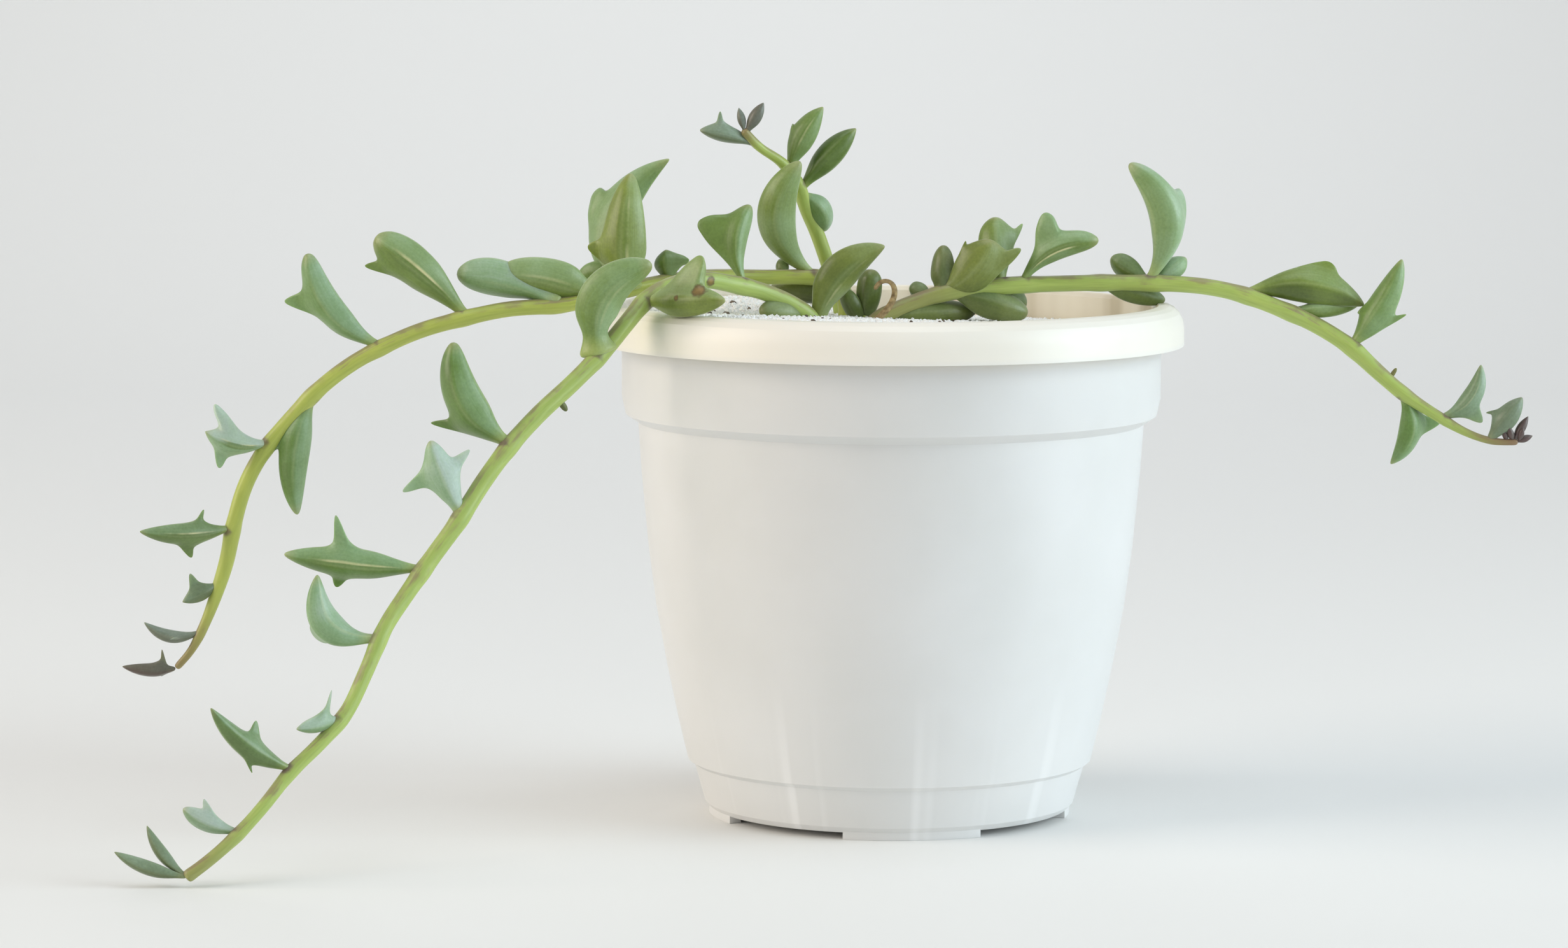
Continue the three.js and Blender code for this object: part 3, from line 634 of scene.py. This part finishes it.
stemForm = {
    "sides": 12,
    "step": 1.5,
    "fewestSteps": 8,
    "swelling": 0.13,  # at each node, just past the leaf's start
    "nodeLong": 1.5,
    "nodeAhead": 0.8,
    "nodeFrom": 8,  # shorter leaves make no node, unless they are young
    "ridges": 5,
    "ridgeHeight": 0.025,
    "ridgeTwist": 0.05,
    "patchRound": 0.35,  # the rest of a node's patch is on the leaf's side
    "youngFrom": 0.9,
    "agedUntil": (17, 34),
    "streakLong": 4,
}


def fin(share, reach, **more):
    return {**plainFin, "share": share, "reach": reach, **more}


def leaf(at, aim, length, **more):
    return {**plainLeaf, "at": at, "aim": aim, "length": length, **more}


def curvePoint(points, index, t):
    # One stretch of a centripetal Catmull-Rom curve
    p1, p2 = points[index], points[index + 1]
    p0 = points[index - 1] if index else p1 * 2 - p2
    p3 = points[index + 2] if index + 2 < len(points) else p2 * 2 - p1
    d0, d1, d2 = [max((b - a).length, 1e-9) ** 0.5 for a, b in ((p0, p1), (p1, p2), (p2, p3))]
    start = ((p1 - p0) / d0 - (p2 - p0) / (d0 + d1) + (p2 - p1) / d1) * d1
    end = ((p2 - p1) / d1 - (p3 - p1) / (d1 + d2) + (p3 - p2) / d2) * d1
    a = 2 * p1 - 2 * p2 + start + end
    b = -3 * p1 + 3 * p2 - 2 * start - end
    return a * t ** 3 + b * t ** 2 + start * t + p1


class Route:
    # A smooth line through the stem's points, asked for places by their distance along it
    def __init__(self, points, fine=24):
        points = [Vector(point) for point in points]
        self.line = [curvePoint(points, i, k / fine) for i in range(len(points) - 1)
                     for k in range(fine)] + [points[-1]]
        self.runs = [0.0]
        for a, b in zip(self.line, self.line[1:]):
            self.runs.append(self.runs[-1] + (b - a).length)
        self.length = self.runs[-1]

    def at(self, run):
        run = clamp(run, 0, self.length)
        low, high = 0, len(self.runs) - 1
        while high - low > 1:
            middle = (low + high) // 2
            low, high = (middle, high) if self.runs[middle] <= run else (low, middle)
        share = (run - self.runs[low]) / (self.runs[high] - self.runs[low])
        return self.line[low].lerp(self.line[high], share)

    def heading(self, run, reach=0.4):
        return (self.at(run + reach) - self.at(run - reach)).normalized()


def addLayers(bm):
    layers = {name: bm.verts.layers.float_vector.new(name)
              for name in ("leafPlace", "leafLook", "leafLightWarmMark", "stemPlace", "stemLook")}
    layers["slot"] = bm.verts.layers.int.new("slot")
    return layers


def chordOf(row):
    aim, lean = math.radians(row["aim"]), math.radians(row["lean"])
    return Vector((math.cos(aim) * math.cos(lean), -math.sin(lean), math.sin(aim) * math.cos(lean)))


def nextRing(bm, layers, face, sides, ring):
    # A circle to start with, then a ring pulled out of the last one
    if ring:
        return pullOut(bm, [face], first=ring == 1)[1][0]
    made = bmesh.ops.create_circle(bm, cap_ends=True, segments=sides, radius=mm)["verts"]
    for slot, vert in enumerate(made[0].link_faces[0].verts):
        vert[layers["slot"]] = slot
    return made[0].link_faces[0]


def growStem(bm, layers, plan, route):
    sides = stemForm["sides"]
    rings = max(stemForm["fewestSteps"], round(route.length / stemForm["step"]))
    patchRound = stemForm["patchRound"]
    nodes = [(row["at"], chordOf(row)) for row in plan["leaves"]
             if row["length"] > stemForm["nodeFrom"] or row["young"] > 0.5]
    face = None
    normal = Vector((0, -1, 0))
    for ring in range(rings + 1):
        run = route.length * ring / rings
        centre, tangent = route.at(run), route.heading(run)
        normal = (normal - tangent * normal.dot(tangent)).normalized()
        other = tangent.cross(normal)
        beside = [(math.exp(-((run - at - stemForm["nodeAhead"]) / stemForm["nodeLong"]) ** 2),
                   chord) for at, chord in nodes]
        near = max([share for share, chord in beside], default=0)
        taper = smooth(run / route.length, plan["taperFrom"], 1)
        radius = plan["radius"] + (plan["tipRadius"] - plan["radius"]) * taper
        radius *= 1 + stemForm["swelling"] * near
        face = nextRing(bm, layers, face, sides, ring)
        for vert in face.verts:
            angle = 2 * math.pi * vert[layers["slot"]] / sides
            outward = normal * math.cos(angle) + other * math.sin(angle)
            wave = math.cos(stemForm["ridges"] * angle + stemForm["ridgeTwist"] * run)
            vert.co = (centre + outward * radius * (1 + stemForm["ridgeHeight"] * wave)) * mm
            vert[layers["stemPlace"]] = (outward.z, outward.dot(tangent.cross(Vector((0, 0, 1)))),
                                         run / stemForm["streakLong"])
            patch = max([share * (patchRound + (1 - patchRound) * max(0, outward.dot(chord)))
                         for share, chord in beside], default=0)
            brown = plan["young"] * smooth(run / route.length, stemForm["youngFrom"], 1)
            brown += plan.get("aged", 0) * (1 - smooth(run, *stemForm["agedUntil"]))
            vert[layers["stemLook"]] = (patch, plan["tone"], brown)
    for stemFace in bm.faces:
        stemFace.material_index = 1


def growLeaf(bm, layers, row, base):
    aim, turn = math.radians(row["aim"]), math.radians(row["turn"])
    chord = chordOf(row)
    left = Vector((-math.sin(aim), 0, math.cos(aim)))
    viewer = chord.cross(left)
    bow = left * row["curve"] + viewer * row["arch"]
    back = left * math.cos(turn) + viewer * math.sin(turn)
    long, wide, belly = row["length"], row["wide"], row["belly"]
    steps = max(leafForm["fewestSteps"], round(long / leafForm["step"]))
    sides = leafForm["sides"]
    towardBelly = [(0, leafForm["footFlare"] * row["foot"]), (leafForm["footLong"], row["foot"])]
    towardBelly += leafForm["towardBelly"]
    towardTip = [(place, sharp + (blunt - sharp) * row["tip"]) for (place, sharp), (_, blunt)
                 in zip(leafForm["towardSharpTip"], leafForm["towardBluntTip"])]
    fins = [(sign, row[name]) for sign, name in ((1, "right"), (-1, "left")) if row[name]]
    aged = (row["tone"], row["young"], row["old"])
    paintedLightToward = Vector(leafForm["paintedLightToward"])

    def placeAt(share):
        point = base + chord * long * share + bow * 4 * share * (1 - share)
        heading = (chord * long + bow * (4 - 8 * share)).normalized()
        up = (back - heading * back.dot(heading)).normalized()
        return point, heading, up, heading.cross(up)

    def widthAt(share):
        if share <= belly:
            return between(towardBelly, share / belly)
        return between(towardTip, (share - belly) / (1 - belly))

    face = None
    rings = []
    for ring in range(steps + 1):
        share = ring / steps
        point, heading, up, side = placeAt(share)
        width = widthAt(share)
        face = nextRing(bm, layers, face, sides, ring)
        around = sorted(face.verts, key=lambda vert: vert[layers["slot"]])
        for slot, vert in enumerate(around):
            angle = 2 * math.pi * (slot + 0.5) / sides
            depth = leafForm["backShare"] if math.cos(angle) > 0 else leafForm["bellyShare"]
            if math.cos(angle) > leafForm["keelWithin"]:
                depth *= leafForm["keel"]
            rise = math.copysign(abs(math.cos(angle)) ** leafForm["lens"], math.cos(angle))
            flat = side * math.sin(angle) * wide / 2 + up * rise * row["deep"] * depth
            place = point + flat * width
            for sign, plan in fins:
                away = 2 * (share - plan["share"]) * long / plan["root"]
                if abs(away) < 1:
                    proud = plan["reach"] - width * wide / 2
                    swell = leafForm["finSwell"] * (1 - away * away) ** 2
                    swell *= max(0, math.sin(angle) * sign) ** 3
                    place += (side * sign * proud + heading * plan["sweep"]) * swell
            vert.co = place * mm
            vert[layers["leafPlace"]] = (share, math.cos(angle), math.sin(angle))
            vert[layers["leafLook"]] = aged
            # How far each face turns toward the lamps, for the painted light on the skin
            facet = math.copysign(abs(math.sin(angle)) ** leafForm["facet"], math.sin(angle))
            outward = side * facet + up * leafForm["backTurn"] * math.cos(angle)
            vert[layers["leafLightWarmMark"]] = (outward.normalized().dot(paintedLightToward), row["warm"],
                                       row["mark"])
        rings.append(around)
    for sign, plan in fins:
        growFin(bm, row, plan, sign, rings, placeAt(plan["share"]))


def growFin(bm, row, plan, sign, rings, place):
    point, heading, _, side = place
    steps, sides = len(rings) - 1, leafForm["sides"]
    centre = sides // 4 - 1 if sign > 0 else 3 * sides // 4 - 1
    spread = 1 if plan["blunt"] > leafForm["wideFin"] else 0
    count = max(1, round(leafForm["finRoot"] * plan["root"] * steps / row["length"]))
    start = min(max(round(plan["share"] * steps - count / 2), 1), steps - count)
    faces = []
    for i in range(start, start + count):
        for column in range(centre - spread, centre + spread + 1):
            faces.append(bm.faces.get([rings[i][column], rings[i][column + 1],
                                       rings[i + 1][column + 1], rings[i + 1][column]]))
    tip = point + heading * plan["sweep"] + side * plan["reach"] * sign
    root = sum((face.calc_center_median() for face in faces), Vector()) / len(faces)
    reached, size = 0, 1
    for goal, sharp, blunt in leafForm["finSteps"]:
        verts, faces = pullOut(bm, faces)
        middle = sum((vert.co for vert in verts), Vector()) / len(verts)
        wanted = sharp + (blunt - sharp) * plan["blunt"]
        ratio = wanted / size
        bmesh.ops.scale(bm, vec=(ratio, ratio, ratio), verts=verts,
                        space=Matrix.Translation(-middle))
        bmesh.ops.translate(bm, vec=(tip * mm - root) * (goal - reached), verts=verts)
        reached, size = goal, wanted


def growVine(name, plan):
    route = Route(plan["route"])
    bm = bmesh.new()
    layers = addLayers(bm)
    growStem(bm, layers, plan, route)
    for row in plan["leaves"]:
        growLeaf(bm, layers, row, route.at(row["at"]))
    obj = addPiece(name, bm, plan.get("skins", [leafSkin, stemSkin]), levels=2)
    return obj


vineLeft = {
    "radius": 1.5, "tipRadius": 0.7, "taperFrom": 0.86, "tone": 0.1, "young": 0.8,
    "route": [
        (-8.5, 5, 86), (-8.5, 5, 93), (-9, 5, 98.6), (-11, 4.5, 100.6), (-14.5, 4, 101),
        (-23.5, 2, 101.1), (-36, -4, 101.4), (-47.5, -11, 100), (-54.5, -15, 98.5),
        (-60.5, -17, 97.1), (-71, -19, 96.4), (-79, -20, 94.8), (-87, -21, 92.6),
        (-93.6, -22, 89.8), (-99.5, -22, 86.6), (-105.3, -23, 82.2), (-111, -23, 76.3),
        (-116, -23, 70.2), (-119.3, -23, 64.2), (-121.5, -23, 57), (-123, -22, 50),
        (-124.9, -22, 44), (-127, -22, 38.5), (-129.7, -22, 33.2), (-132.6, -22, 29.8)],
    "leaves": [
        leaf(11, 172, 14.5, lean=-8, turn=60, wide=5, deep=4.4, tone=0.2, warm=0.5, old=0.6),
        leaf(18.7, 98, 22.8, lean=12, curve=6.1, turn=80, wide=7.8, deep=6, belly=0.55, foot=0.2,
             tip=0.3, tone=0.5, warm=0.6),
        leaf(24.5, 114, 4.5, lean=-40, wide=3, deep=2.4, belly=0.6, tone=0.35, warm=0.5, old=0.3),
        leaf(49, 95, 6, lean=-10, wide=5.6, deep=4, belly=0.55, foot=0.4, tip=0.1,
             right=fin(0.6, 4.4, sweep=0, root=4.5, blunt=0.6), tone=0.35, warm=0.45),
        leaf(56, 174, 11.5, lean=-15, curve=-1.2, wide=7, tip=0.6, tone=0.35, warm=0.3),
        leaf(58, 88, 21.6, curve=0.8, arch=2, turn=80, wide=8.8, deep=6.4, belly=0.34, foot=0.7,
             tip=0.25, left=fin(0.34, 6.9, sweep=0.3, root=9, blunt=0.3), tone=0.42, warm=0.85,
             mark=0.5),
        leaf(60.5, 68, 27, lean=-12, curve=5.6, arch=-4, turn=60, wide=8.8, deep=6, belly=0.42,
             tip=0.05, left=fin(0.48, 5.9, sweep=3.5, root=10, blunt=0.8), tone=0.62, warm=0.3),
        leaf(64.5, 166.5, 18.7, lean=10, curve=-1.5, wide=8.2, deep=6, belly=0.38, foot=0.8,
             tip=0.75, tone=0.4, warm=0.55, mark=0.3),
        leaf(72, 163, 19.6, lean=2, curve=-1.8, wide=7.8, deep=6, belly=0.64, foot=0.45, tip=0.55,
             tone=0.6, warm=0.1),
        leaf(89, 139, 22.5, curve=-0.8, turn=80, wide=8, deep=6.2, belly=0.66, tip=0.6,
             left=fin(0.74, 5.8, sweep=4, root=6.5, blunt=0.25), tone=0.4, warm=0.4, mark=0.9),
        leaf(105.5, 128.5, 22, curve=3.2, tip=0.6,
             left=fin(0.64, 7.2, sweep=2.4, root=7, blunt=0.15), tone=0.56, warm=0.05),
        leaf(121, 262, 22.6, curve=-2.1, turn=85, belly=0.44, tip=0.25,
             right=fin(0.36, 3.9, sweep=3.4, root=8, blunt=0.3), tone=0.5, warm=0.1),
        leaf(133, 167, 13.4, lean=30, curve=1.3, turn=80, wide=4.6, belly=0.6, tip=0,
             right=fin(0.6, 6.2, sweep=5.2, root=8, blunt=0.7),
             left=fin(0.62, 5.2, sweep=0, root=4.5, blunt=0.4), tone=0.8, warm=0.15, mark=0.8),
        leaf(150.5, 179, 18.6, lean=30, curve=0.8, turn=80, wide=4.4, deep=4, belly=0.46, tip=0.1,
             right=fin(0.37, 4.4, sweep=-0.8, root=3.4), left=fin(0.46, 4.6, sweep=-0.4, root=4),
             tone=0.42, warm=0.2, mark=1, young=0.15),
        leaf(161.5, 205, 7.8, lean=20, turn=80, wide=3.2, deep=2.4, tip=0.1,
             right=fin(0.55, 4.2, sweep=0.1, root=4), warm=0.1, young=0.5),
        leaf(171, 171, 10.8, curve=1.8, turn=180, wide=3, deep=2.6, tip=0.1,
             left=fin(0.36, 3.4, sweep=1.2, root=2.6), tone=0.55, warm=0.1, mark=0.3, young=0.8),
        leaf(181, 178, 10, curve=0.5, wide=2.9, deep=2.7, belly=0.4, tip=0.1,
             right=fin(0.27, 4.2, sweep=-0.6, root=2.2, blunt=0),
             left=fin(0.2, 1.3, root=1.6, blunt=0), tone=0.15, warm=0.3, young=0.9)],
}
vineFront = {
    "radius": 1.65, "tipRadius": 1.15, "taperFrom": 0.5, "tone": 0.7, "young": 0.5,
    "route": [
        (-13, -8, 87), (-14, -9, 92.4), (-17.5, -11, 96.2), (-24, -14, 99.4), (-30, -18, 101.1),
        (-34.5, -22, 102.1), (-39.8, -26, 101.7), (-44.8, -30.5, 99.4), (-48.8, -35, 95),
        (-52.8, -38, 90.2), (-58.2, -42, 84.8), (-64, -46, 79.6), (-69.2, -49, 74),
        (-73.6, -52, 68.1), (-78.4, -56, 60.6), (-82.5, -58, 55), (-87, -61, 48.6),
        (-90.5, -64, 43.2), (-93.7, -67, 35.7), (-97, -70, 28.8), (-101.6, -73, 23.6),
        (-106.5, -75, 18.9), (-110.7, -78, 13.7), (-115, -80, 9), (-119.8, -82, 4.8),
        (-124, -83, 1.7)],
    "leaves": [
        leaf(5.5, 51, 20, lean=5, curve=3.4, turn=105, wide=7.6, deep=5.6, foot=0.4, tip=0.12,
             tone=0.38, warm=0.75, mark=0.5, old=0.25),
        leaf(8.5, 170, 10.5, lean=28, turn=90, wide=5.4, deep=4.6, tip=0.7, warm=0.6, old=0.4),
        leaf(23, 87.1, 15.6, lean=-15, curve=2.3, turn=90, wide=4.4, belly=0.66, tip=0.6,
             left=fin(0.55, 7.3, sweep=2.2, root=12.5, blunt=0.45), tone=0.42, warm=0.3),
        leaf(47.5, 3, 18, lean=35, turn=75, wide=6.4, belly=0.45,
             left=fin(0.42, 8.2, sweep=3.7, root=13, blunt=0.5), tone=0.4, warm=0.75),
        leaf(62, 60, 19.5, lean=8, curve=5, turn=105, wide=8.8, deep=6.2, belly=0.42, foot=0.82,
             tip=0.45, tone=0.5, warm=0.35, mark=0.2),
        leaf(73.6, 305, 3.1, wide=1.3, deep=1.1, foot=0.9, tip=0.8, old=0.8),
        leaf(86, 119, 21, curve=3.5, wide=7.8, deep=6.4, belly=0.45, tip=0.4,
             left=fin(0.36, 7.6, sweep=3.8, root=6), tone=0.33, warm=0.1),
        leaf(102, 113, 14.5, curve=0.5, turn=90, wide=5.6, deep=4.4, foot=0.4, tip=0.35,
             right=fin(0.56, 6.2, sweep=2.2), left=fin(0.6, 7.6, sweep=-0.9, root=6), tone=0.85,
             warm=0),
        leaf(114, 174, 25, curve=0.3, turn=75,
             right=fin(0.58, 8.7, sweep=1.9, root=5.5, blunt=0.15),
             left=fin(0.58, 4.9, sweep=0.7, root=4.5, blunt=0.3), tone=0.38, warm=0.1, mark=0.6),
        leaf(129, 134, 15.8, curve=5.2, turn=30, wide=5, deep=6,
             left=fin(0.5, 7, sweep=-0.1, root=6, blunt=0.8), tone=0.62, warm=0),
        leaf(145, 188, 9.3, lean=35, wide=3.4, deep=2.8, tip=0.1,
             right=fin(0.4, 6, sweep=-1.4, root=2.6), tone=0.7, warm=0, young=0.15),
        leaf(157.5, 139, 19.2, lean=20, curve=1.6, turn=120, wide=4.2, deep=4.4, belly=0.42,
             tip=0.1, right=fin(0.46, 4.8, sweep=1.3), left=fin(0.4, 3.5, sweep=-1.3, root=3),
             tone=0.36, warm=0.05, young=0.2),
        leaf(172, 157, 10.8, curve=0.7, turn=80, wide=3.8, deep=3, belly=0.6, tip=0.5,
             right=fin(0.55, 3.8, sweep=2.1, root=4), tone=0.75, warm=0, young=0.25),
        leaf(184, 161, 13.4, curve=0.8, wide=3, deep=2.6, tip=0.1, warm=0.1, young=0.5),
        leaf(184, 130, 11.5, lean=-12, curve=1, wide=2.6, deep=2.3, tip=0.1, warm=0.1, young=0.5)],
}
vineUpright = {
    "radius": 1.45, "tipRadius": 0.8, "taperFrom": 0.45, "tone": 0.5, "young": 0.8,
    "route": [
        (-9, 14, 86), (-9.2, 14, 92.5), (-10.2, 13, 98), (-12.1, 12, 103.7), (-14.1, 11, 109.3),
        (-16.2, 9, 114), (-17.7, 7, 118.7), (-20.8, 4, 122.7), (-25, 2, 125.6),
        (-28, 0, 128.9)],
    "leaves": [
        leaf(32.5, 300, 9.2, lean=-25, curve=1.4, wide=5.4, deep=4.4, tip=0.7, tone=0.55, warm=0.2),
        leaf(33.5, 48, 15.7, curve=0.4, wide=5.4, belly=0.55, tip=0.1, tone=0.22, warm=0.35),
        leaf(38.5, 62, 13.6, curve=0.8, wide=5.4, deep=4.6, tip=0.05,
             left=fin(0.55, 3, sweep=0.2, root=3, blunt=0.5), tone=0.4, warm=0.35, mark=0.6),
        leaf(47, 165, 11.4, lean=10, curve=-0.6, wide=3.6, deep=4, belly=0.6,
             right=fin(0.66, 4.2, sweep=1, root=3), tone=0.55, warm=0.1, mark=0.3, young=0.6),
        leaf(50.5, 60, 6.6, wide=2.8, deep=2.4, tip=0.1, young=0.9),
        leaf(51, 104, 4.6, lean=-10, wide=1.8, deep=1.6, tip=0, young=0.9)],
}
vineRight = {
    "radius": 1.6, "tipRadius": 0.6, "taperFrom": 0.74, "tone": 0.6, "young": 1, "aged": 0.5,
    "route": [
        (-8.5, -10, 87), (-3.5, -8, 93.2), (4.5, -6, 97.1), (11.7, -5, 99.1), (21.3, -4, 100),
        (29.7, -3, 100.3), (41.7, -2, 100.5), (53.6, -2, 100.3), (59.5, -3, 99.8),
        (65.5, -3, 98.5), (71.4, -4, 96.4), (78.6, -4, 93.3), (85.8, -5, 88.9), (90.8, -6, 84.4),
        (95.6, -7, 80.3), (101.3, -8, 76.6), (107.2, -9, 73.2), (112.2, -10, 71.6),
        (117, -10, 71.5)],
    "leaves": [
        leaf(9.5, 4, 19.5, lean=-18, tip=0.4, tone=0.35, warm=0.6, old=0.45),
        leaf(20.5, 158, 5, lean=-30, wide=3.6, deep=3, tip=0.8, old=0.5),
        leaf(22, 47, 14.2, lean=5, curve=-1.6, turn=90, wide=8.6, belly=0.6, tip=0.5,
             right=fin(0.8, 5.6, sweep=3.6, root=6, blunt=0.5),
             left=fin(0.64, 4.6, sweep=2, root=6, blunt=0.3), tone=0.38, warm=0.85, old=0.25),
        leaf(22.5, 88, 9.3, lean=-15, wide=5, deep=4, belly=0.35, foot=0.7, tip=0.6, old=0.65),
        leaf(24, 344, 15.5, lean=-6, wide=6.4, tip=0.6, tone=0.4, old=0.5),
        leaf(27, 345, 13.5, lean=-25, wide=8, tip=0.6, tone=0.4, old=0.35),
        leaf(34, 95, 13.6, lean=-20, curve=0.5, turn=90, wide=7, belly=0.62, tip=0.5,
             right=fin(0.7, 5.2, sweep=2.3, root=5.5, blunt=0.4), warm=0.6),
        leaf(37.5, 30.5, 17, lean=10, curve=2.8, turn=90, wide=5, belly=0.62, tip=0.6,
             left=fin(0.5, 6.6, sweep=1.9, root=7, blunt=0.85), tone=0.5, warm=0.3, mark=0.9),
        leaf(52, 345, 14, lean=-14, wide=4.6, deep=3.6, tip=0.5, old=0.4),
        leaf(61.4, 99.3, 22.7, curve=-5.3, turn=-50, wide=7.2, deep=7, tip=0.4,
             left=fin(0.55, 5.6, sweep=1.6, root=11, blunt=0.7), tone=0.62, warm=0.3, mark=0.3),
        leaf(62, 148, 9.4, lean=-25, wide=5, deep=3.6, belly=0.6, tip=0.6, warm=0.3, old=0.25),
        leaf(63, 38, 8, lean=-20, wide=4.4, deep=3.2, belly=0.6, tip=0.3, tone=0.6),
        leaf(79.5, 355, 23, curve=2.7, turn=75, wide=7, deep=5.6, belly=0.55, tip=0.1,
             left=fin(0.56, 5.2, sweep=2.2, root=14, blunt=0.3), tone=0.22, warm=0.6),
        leaf(88.6, 4, 13.6, lean=-10, wide=3.6, deep=3.4, foot=0.5, tip=0.15, warm=0.5),
        leaf(102, 60, 19, curve=-1.2, wide=5.8, belly=0.42, tip=0.15,
             right=fin(0.4, 4.8, sweep=2.9, root=4.5), left=fin(0.36, 3.2, sweep=-0.6), tone=0.42),
        leaf(111.6, 58, 2.9, wide=0.9, deep=0.8, foot=0.9, tip=0.8, old=1),
        leaf(114.6, 263, 13.8, curve=2.8, wide=4.8, deep=4, tip=0.15,
             left=fin(0.4, 6.2, sweep=0.4, blunt=0.3), tone=0.4, warm=0.1),
        leaf(123.5, 53.5, 12.5, curve=-2.4, wide=4, deep=3.4, tip=0.15,
             right=fin(0.34, 4.6, root=4), tone=0.55, warm=0.05, mark=0.3, young=0.35),
        leaf(133.5, 53, 10.2, wide=4.6, deep=3.8, tip=0.15,
             left=fin(0.46, 3.6, sweep=-0.8, root=3), tone=0.5, warm=0.1, young=0.6),
        leaf(137, 112, 2.6, lean=10, wide=1.2, deep=1.1, tip=0, tone=0.05, young=1),
        leaf(138, 60, 5.6, wide=1.9, deep=1.7, tip=0, tone=0.1, young=1),
        leaf(138, 108, 3.2, lean=15, wide=1.5, deep=1.4, tip=0, tone=0.05, young=1),
        leaf(138.5, 20, 3.4, wide=1.5, deep=1.4, tip=0, tone=0.05, young=1),
        leaf(139, 75, 3, lean=20, wide=1.4, deep=1.2, tip=0, tone=0.05, young=1)],
}
shortShoot = {
    "radius": 1.5, "tipRadius": 1.4, "taperFrom": 0.5, "tone": 0.3, "young": 0,
    "route": [(-5, -1, 86.5), (-5, -1, 90.5), (-5, -1, 94.5)],
    "leaves": [
        leaf(5, 84, 11.5, wide=5.2, deep=4.8, belly=0.6, tip=0.95, tone=0.2, old=0.4),
        leaf(5, 118, 9, lean=8, wide=4, deep=3.6, tip=0.7, tone=0.2, old=0.45)],
}
dryTendril = {
    "radius": 0.65, "tipRadius": 0.45, "taperFrom": 0.4, "tone": 0, "young": 0,
    "skins": [witheredSkin, witheredSkin],
    "route": [
        (-3.5, -12, 89), (-3.5, -12, 93.5), (-2, -12, 95), (-0.3, -11.5, 97), (0.5, -11, 99.5),
        (-0.5, -11, 101.4), (-2.6, -11, 101), (-3.4, -11, 99.6)],
    "leaves": [],
}
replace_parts(growVine("vineLeft", vineLeft), "vine_left")
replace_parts(growVine("vineFront", vineFront), "vine_front")
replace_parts(growVine("vineUpright", vineUpright), "vine_upright")
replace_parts(growVine("vineRight", vineRight), "vine_right")
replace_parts(growVine("shortShoot", shortShoot), "short_shoot")
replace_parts(growVine("dryTendril", dryTendril), "dry_tendril")
print("vines grown")

# Floor, backdrop and light
studio = {
    "front": -2200, "bend": 900, "bendRadius": 900, "bendSteps": 16, "height": 2600,
    "wide": 4400, "colour": "#eeeeec", "roomColour": "#fcfdff", "roomLight": 0.413,
}


def addSweep(plan):
    material, tree = newMaterial("seamlessPaper")
    coords = addNode(tree, "ShaderNodeTexCoord").outputs["Object"]
    fibre = addNode(tree, "ShaderNodeTexNoise", {
        "Vector": coords, "Scale": 1 / (2 * mm), "Detail": 2})
    relief = addNode(tree, "ShaderNodeBump", {
        "Height": fibre, "Strength": 0.02, "Distance": 0.05 * mm})
    shader = addNode(tree, "ShaderNodeBsdfPrincipled", {
        "Base Color": plan["colour"], "Roughness": 0.6, "Normal": relief})
    # Its back is clear, so that the pot shows in a view from behind
    side = addNode(tree, "ShaderNodeNewGeometry")
    clear = addNode(tree, "ShaderNodeBsdfTransparent")
    sheet = addNode(tree, "ShaderNodeMixShader", {
        0: side.outputs["Backfacing"], 1: shader, 2: clear})
    addNode(tree, "ShaderNodeOutputMaterial", {"Surface": sheet})
    bm = bmesh.new()
    outline = [(plan["front"], 0), (plan["bend"], 0)]
    for i in range(1, plan["bendSteps"] + 1):
        angle = math.pi / 2 * i / plan["bendSteps"]
        outline.append((plan["bend"] + plan["bendRadius"] * math.sin(angle),
                        plan["bendRadius"] * (1 - math.cos(angle))))
    outline.append((plan["bend"] + plan["bendRadius"], plan["height"]))
    verts = [bm.verts.new((-plan["wide"] / 2 * mm, y * mm, z * mm)) for y, z in outline]
    edges = [bm.edges.new(pair) for pair in zip(verts, verts[1:])]
    made = bmesh.ops.extrude_edge_only(bm, edges=edges)["geom"]
    bmesh.ops.translate(bm, vec=(plan["wide"] * mm, 0, 0),
                        verts=[g for g in made if isinstance(g, bmesh.types.BMVert)])
    bm.normal_update()
    floor = max(bm.faces, key=lambda face: abs(face.normal.z))
    if floor.normal.z < 0:
        bmesh.ops.reverse_faces(bm, faces=bm.faces)
    obj = linkMesh("paperSweep", bm, [material])


def addLight(name, place, aim, size, power, colour, spread=180):
    data = bpy.data.lights.new(name, "AREA")
    data.shape = "RECTANGLE"
    data.size, data.size_y = [side * mm for side in size]
    data.energy = power
    data.color = linear(colour)[:3]
    data.spread = math.radians(spread)
    obj = bpy.data.objects.new(name, data)
    toward = (Vector(aim) - Vector(place)).to_track_quat("-Z", "Y")
    obj.matrix_world = Matrix.Translation(Vector(place) * mm) @ toward.to_matrix().to_4x4()
    scene.collection.objects.link(obj)


addSweep(studio)
addLight("rightWindow", (1300, 100, 650), (0, 0, 60), (1100, 1100), 2.94, "#ddf2ff")
addLight("rightSoftbox", (900, -300, 350), (0, 0, 60), (700, 700), 2.85, "#eaf9ff", 120)
addLight("leftWindow", (-1300, -350, 600), (0, 0, 60), (1000, 1000), 12.8, "#fff2e2")
addLight("overhead", (0, -200, 1300), (0, 0, 0), (700, 700), 3, "#ebf6ff")
addLight("backdropGlow", (0, 1000, 900), (0, 1500, 0), (400, 400), 2.23, "#f2f9ff")
world = bpy.data.worlds.new("paleRoom")
world.use_nodes = True
background = world.node_tree.nodes["Background"]
background.inputs["Color"].default_value = linear(studio["roomColour"])
background.inputs["Strength"].default_value = studio["roomLight"]
scene.world = world
print("studio set")
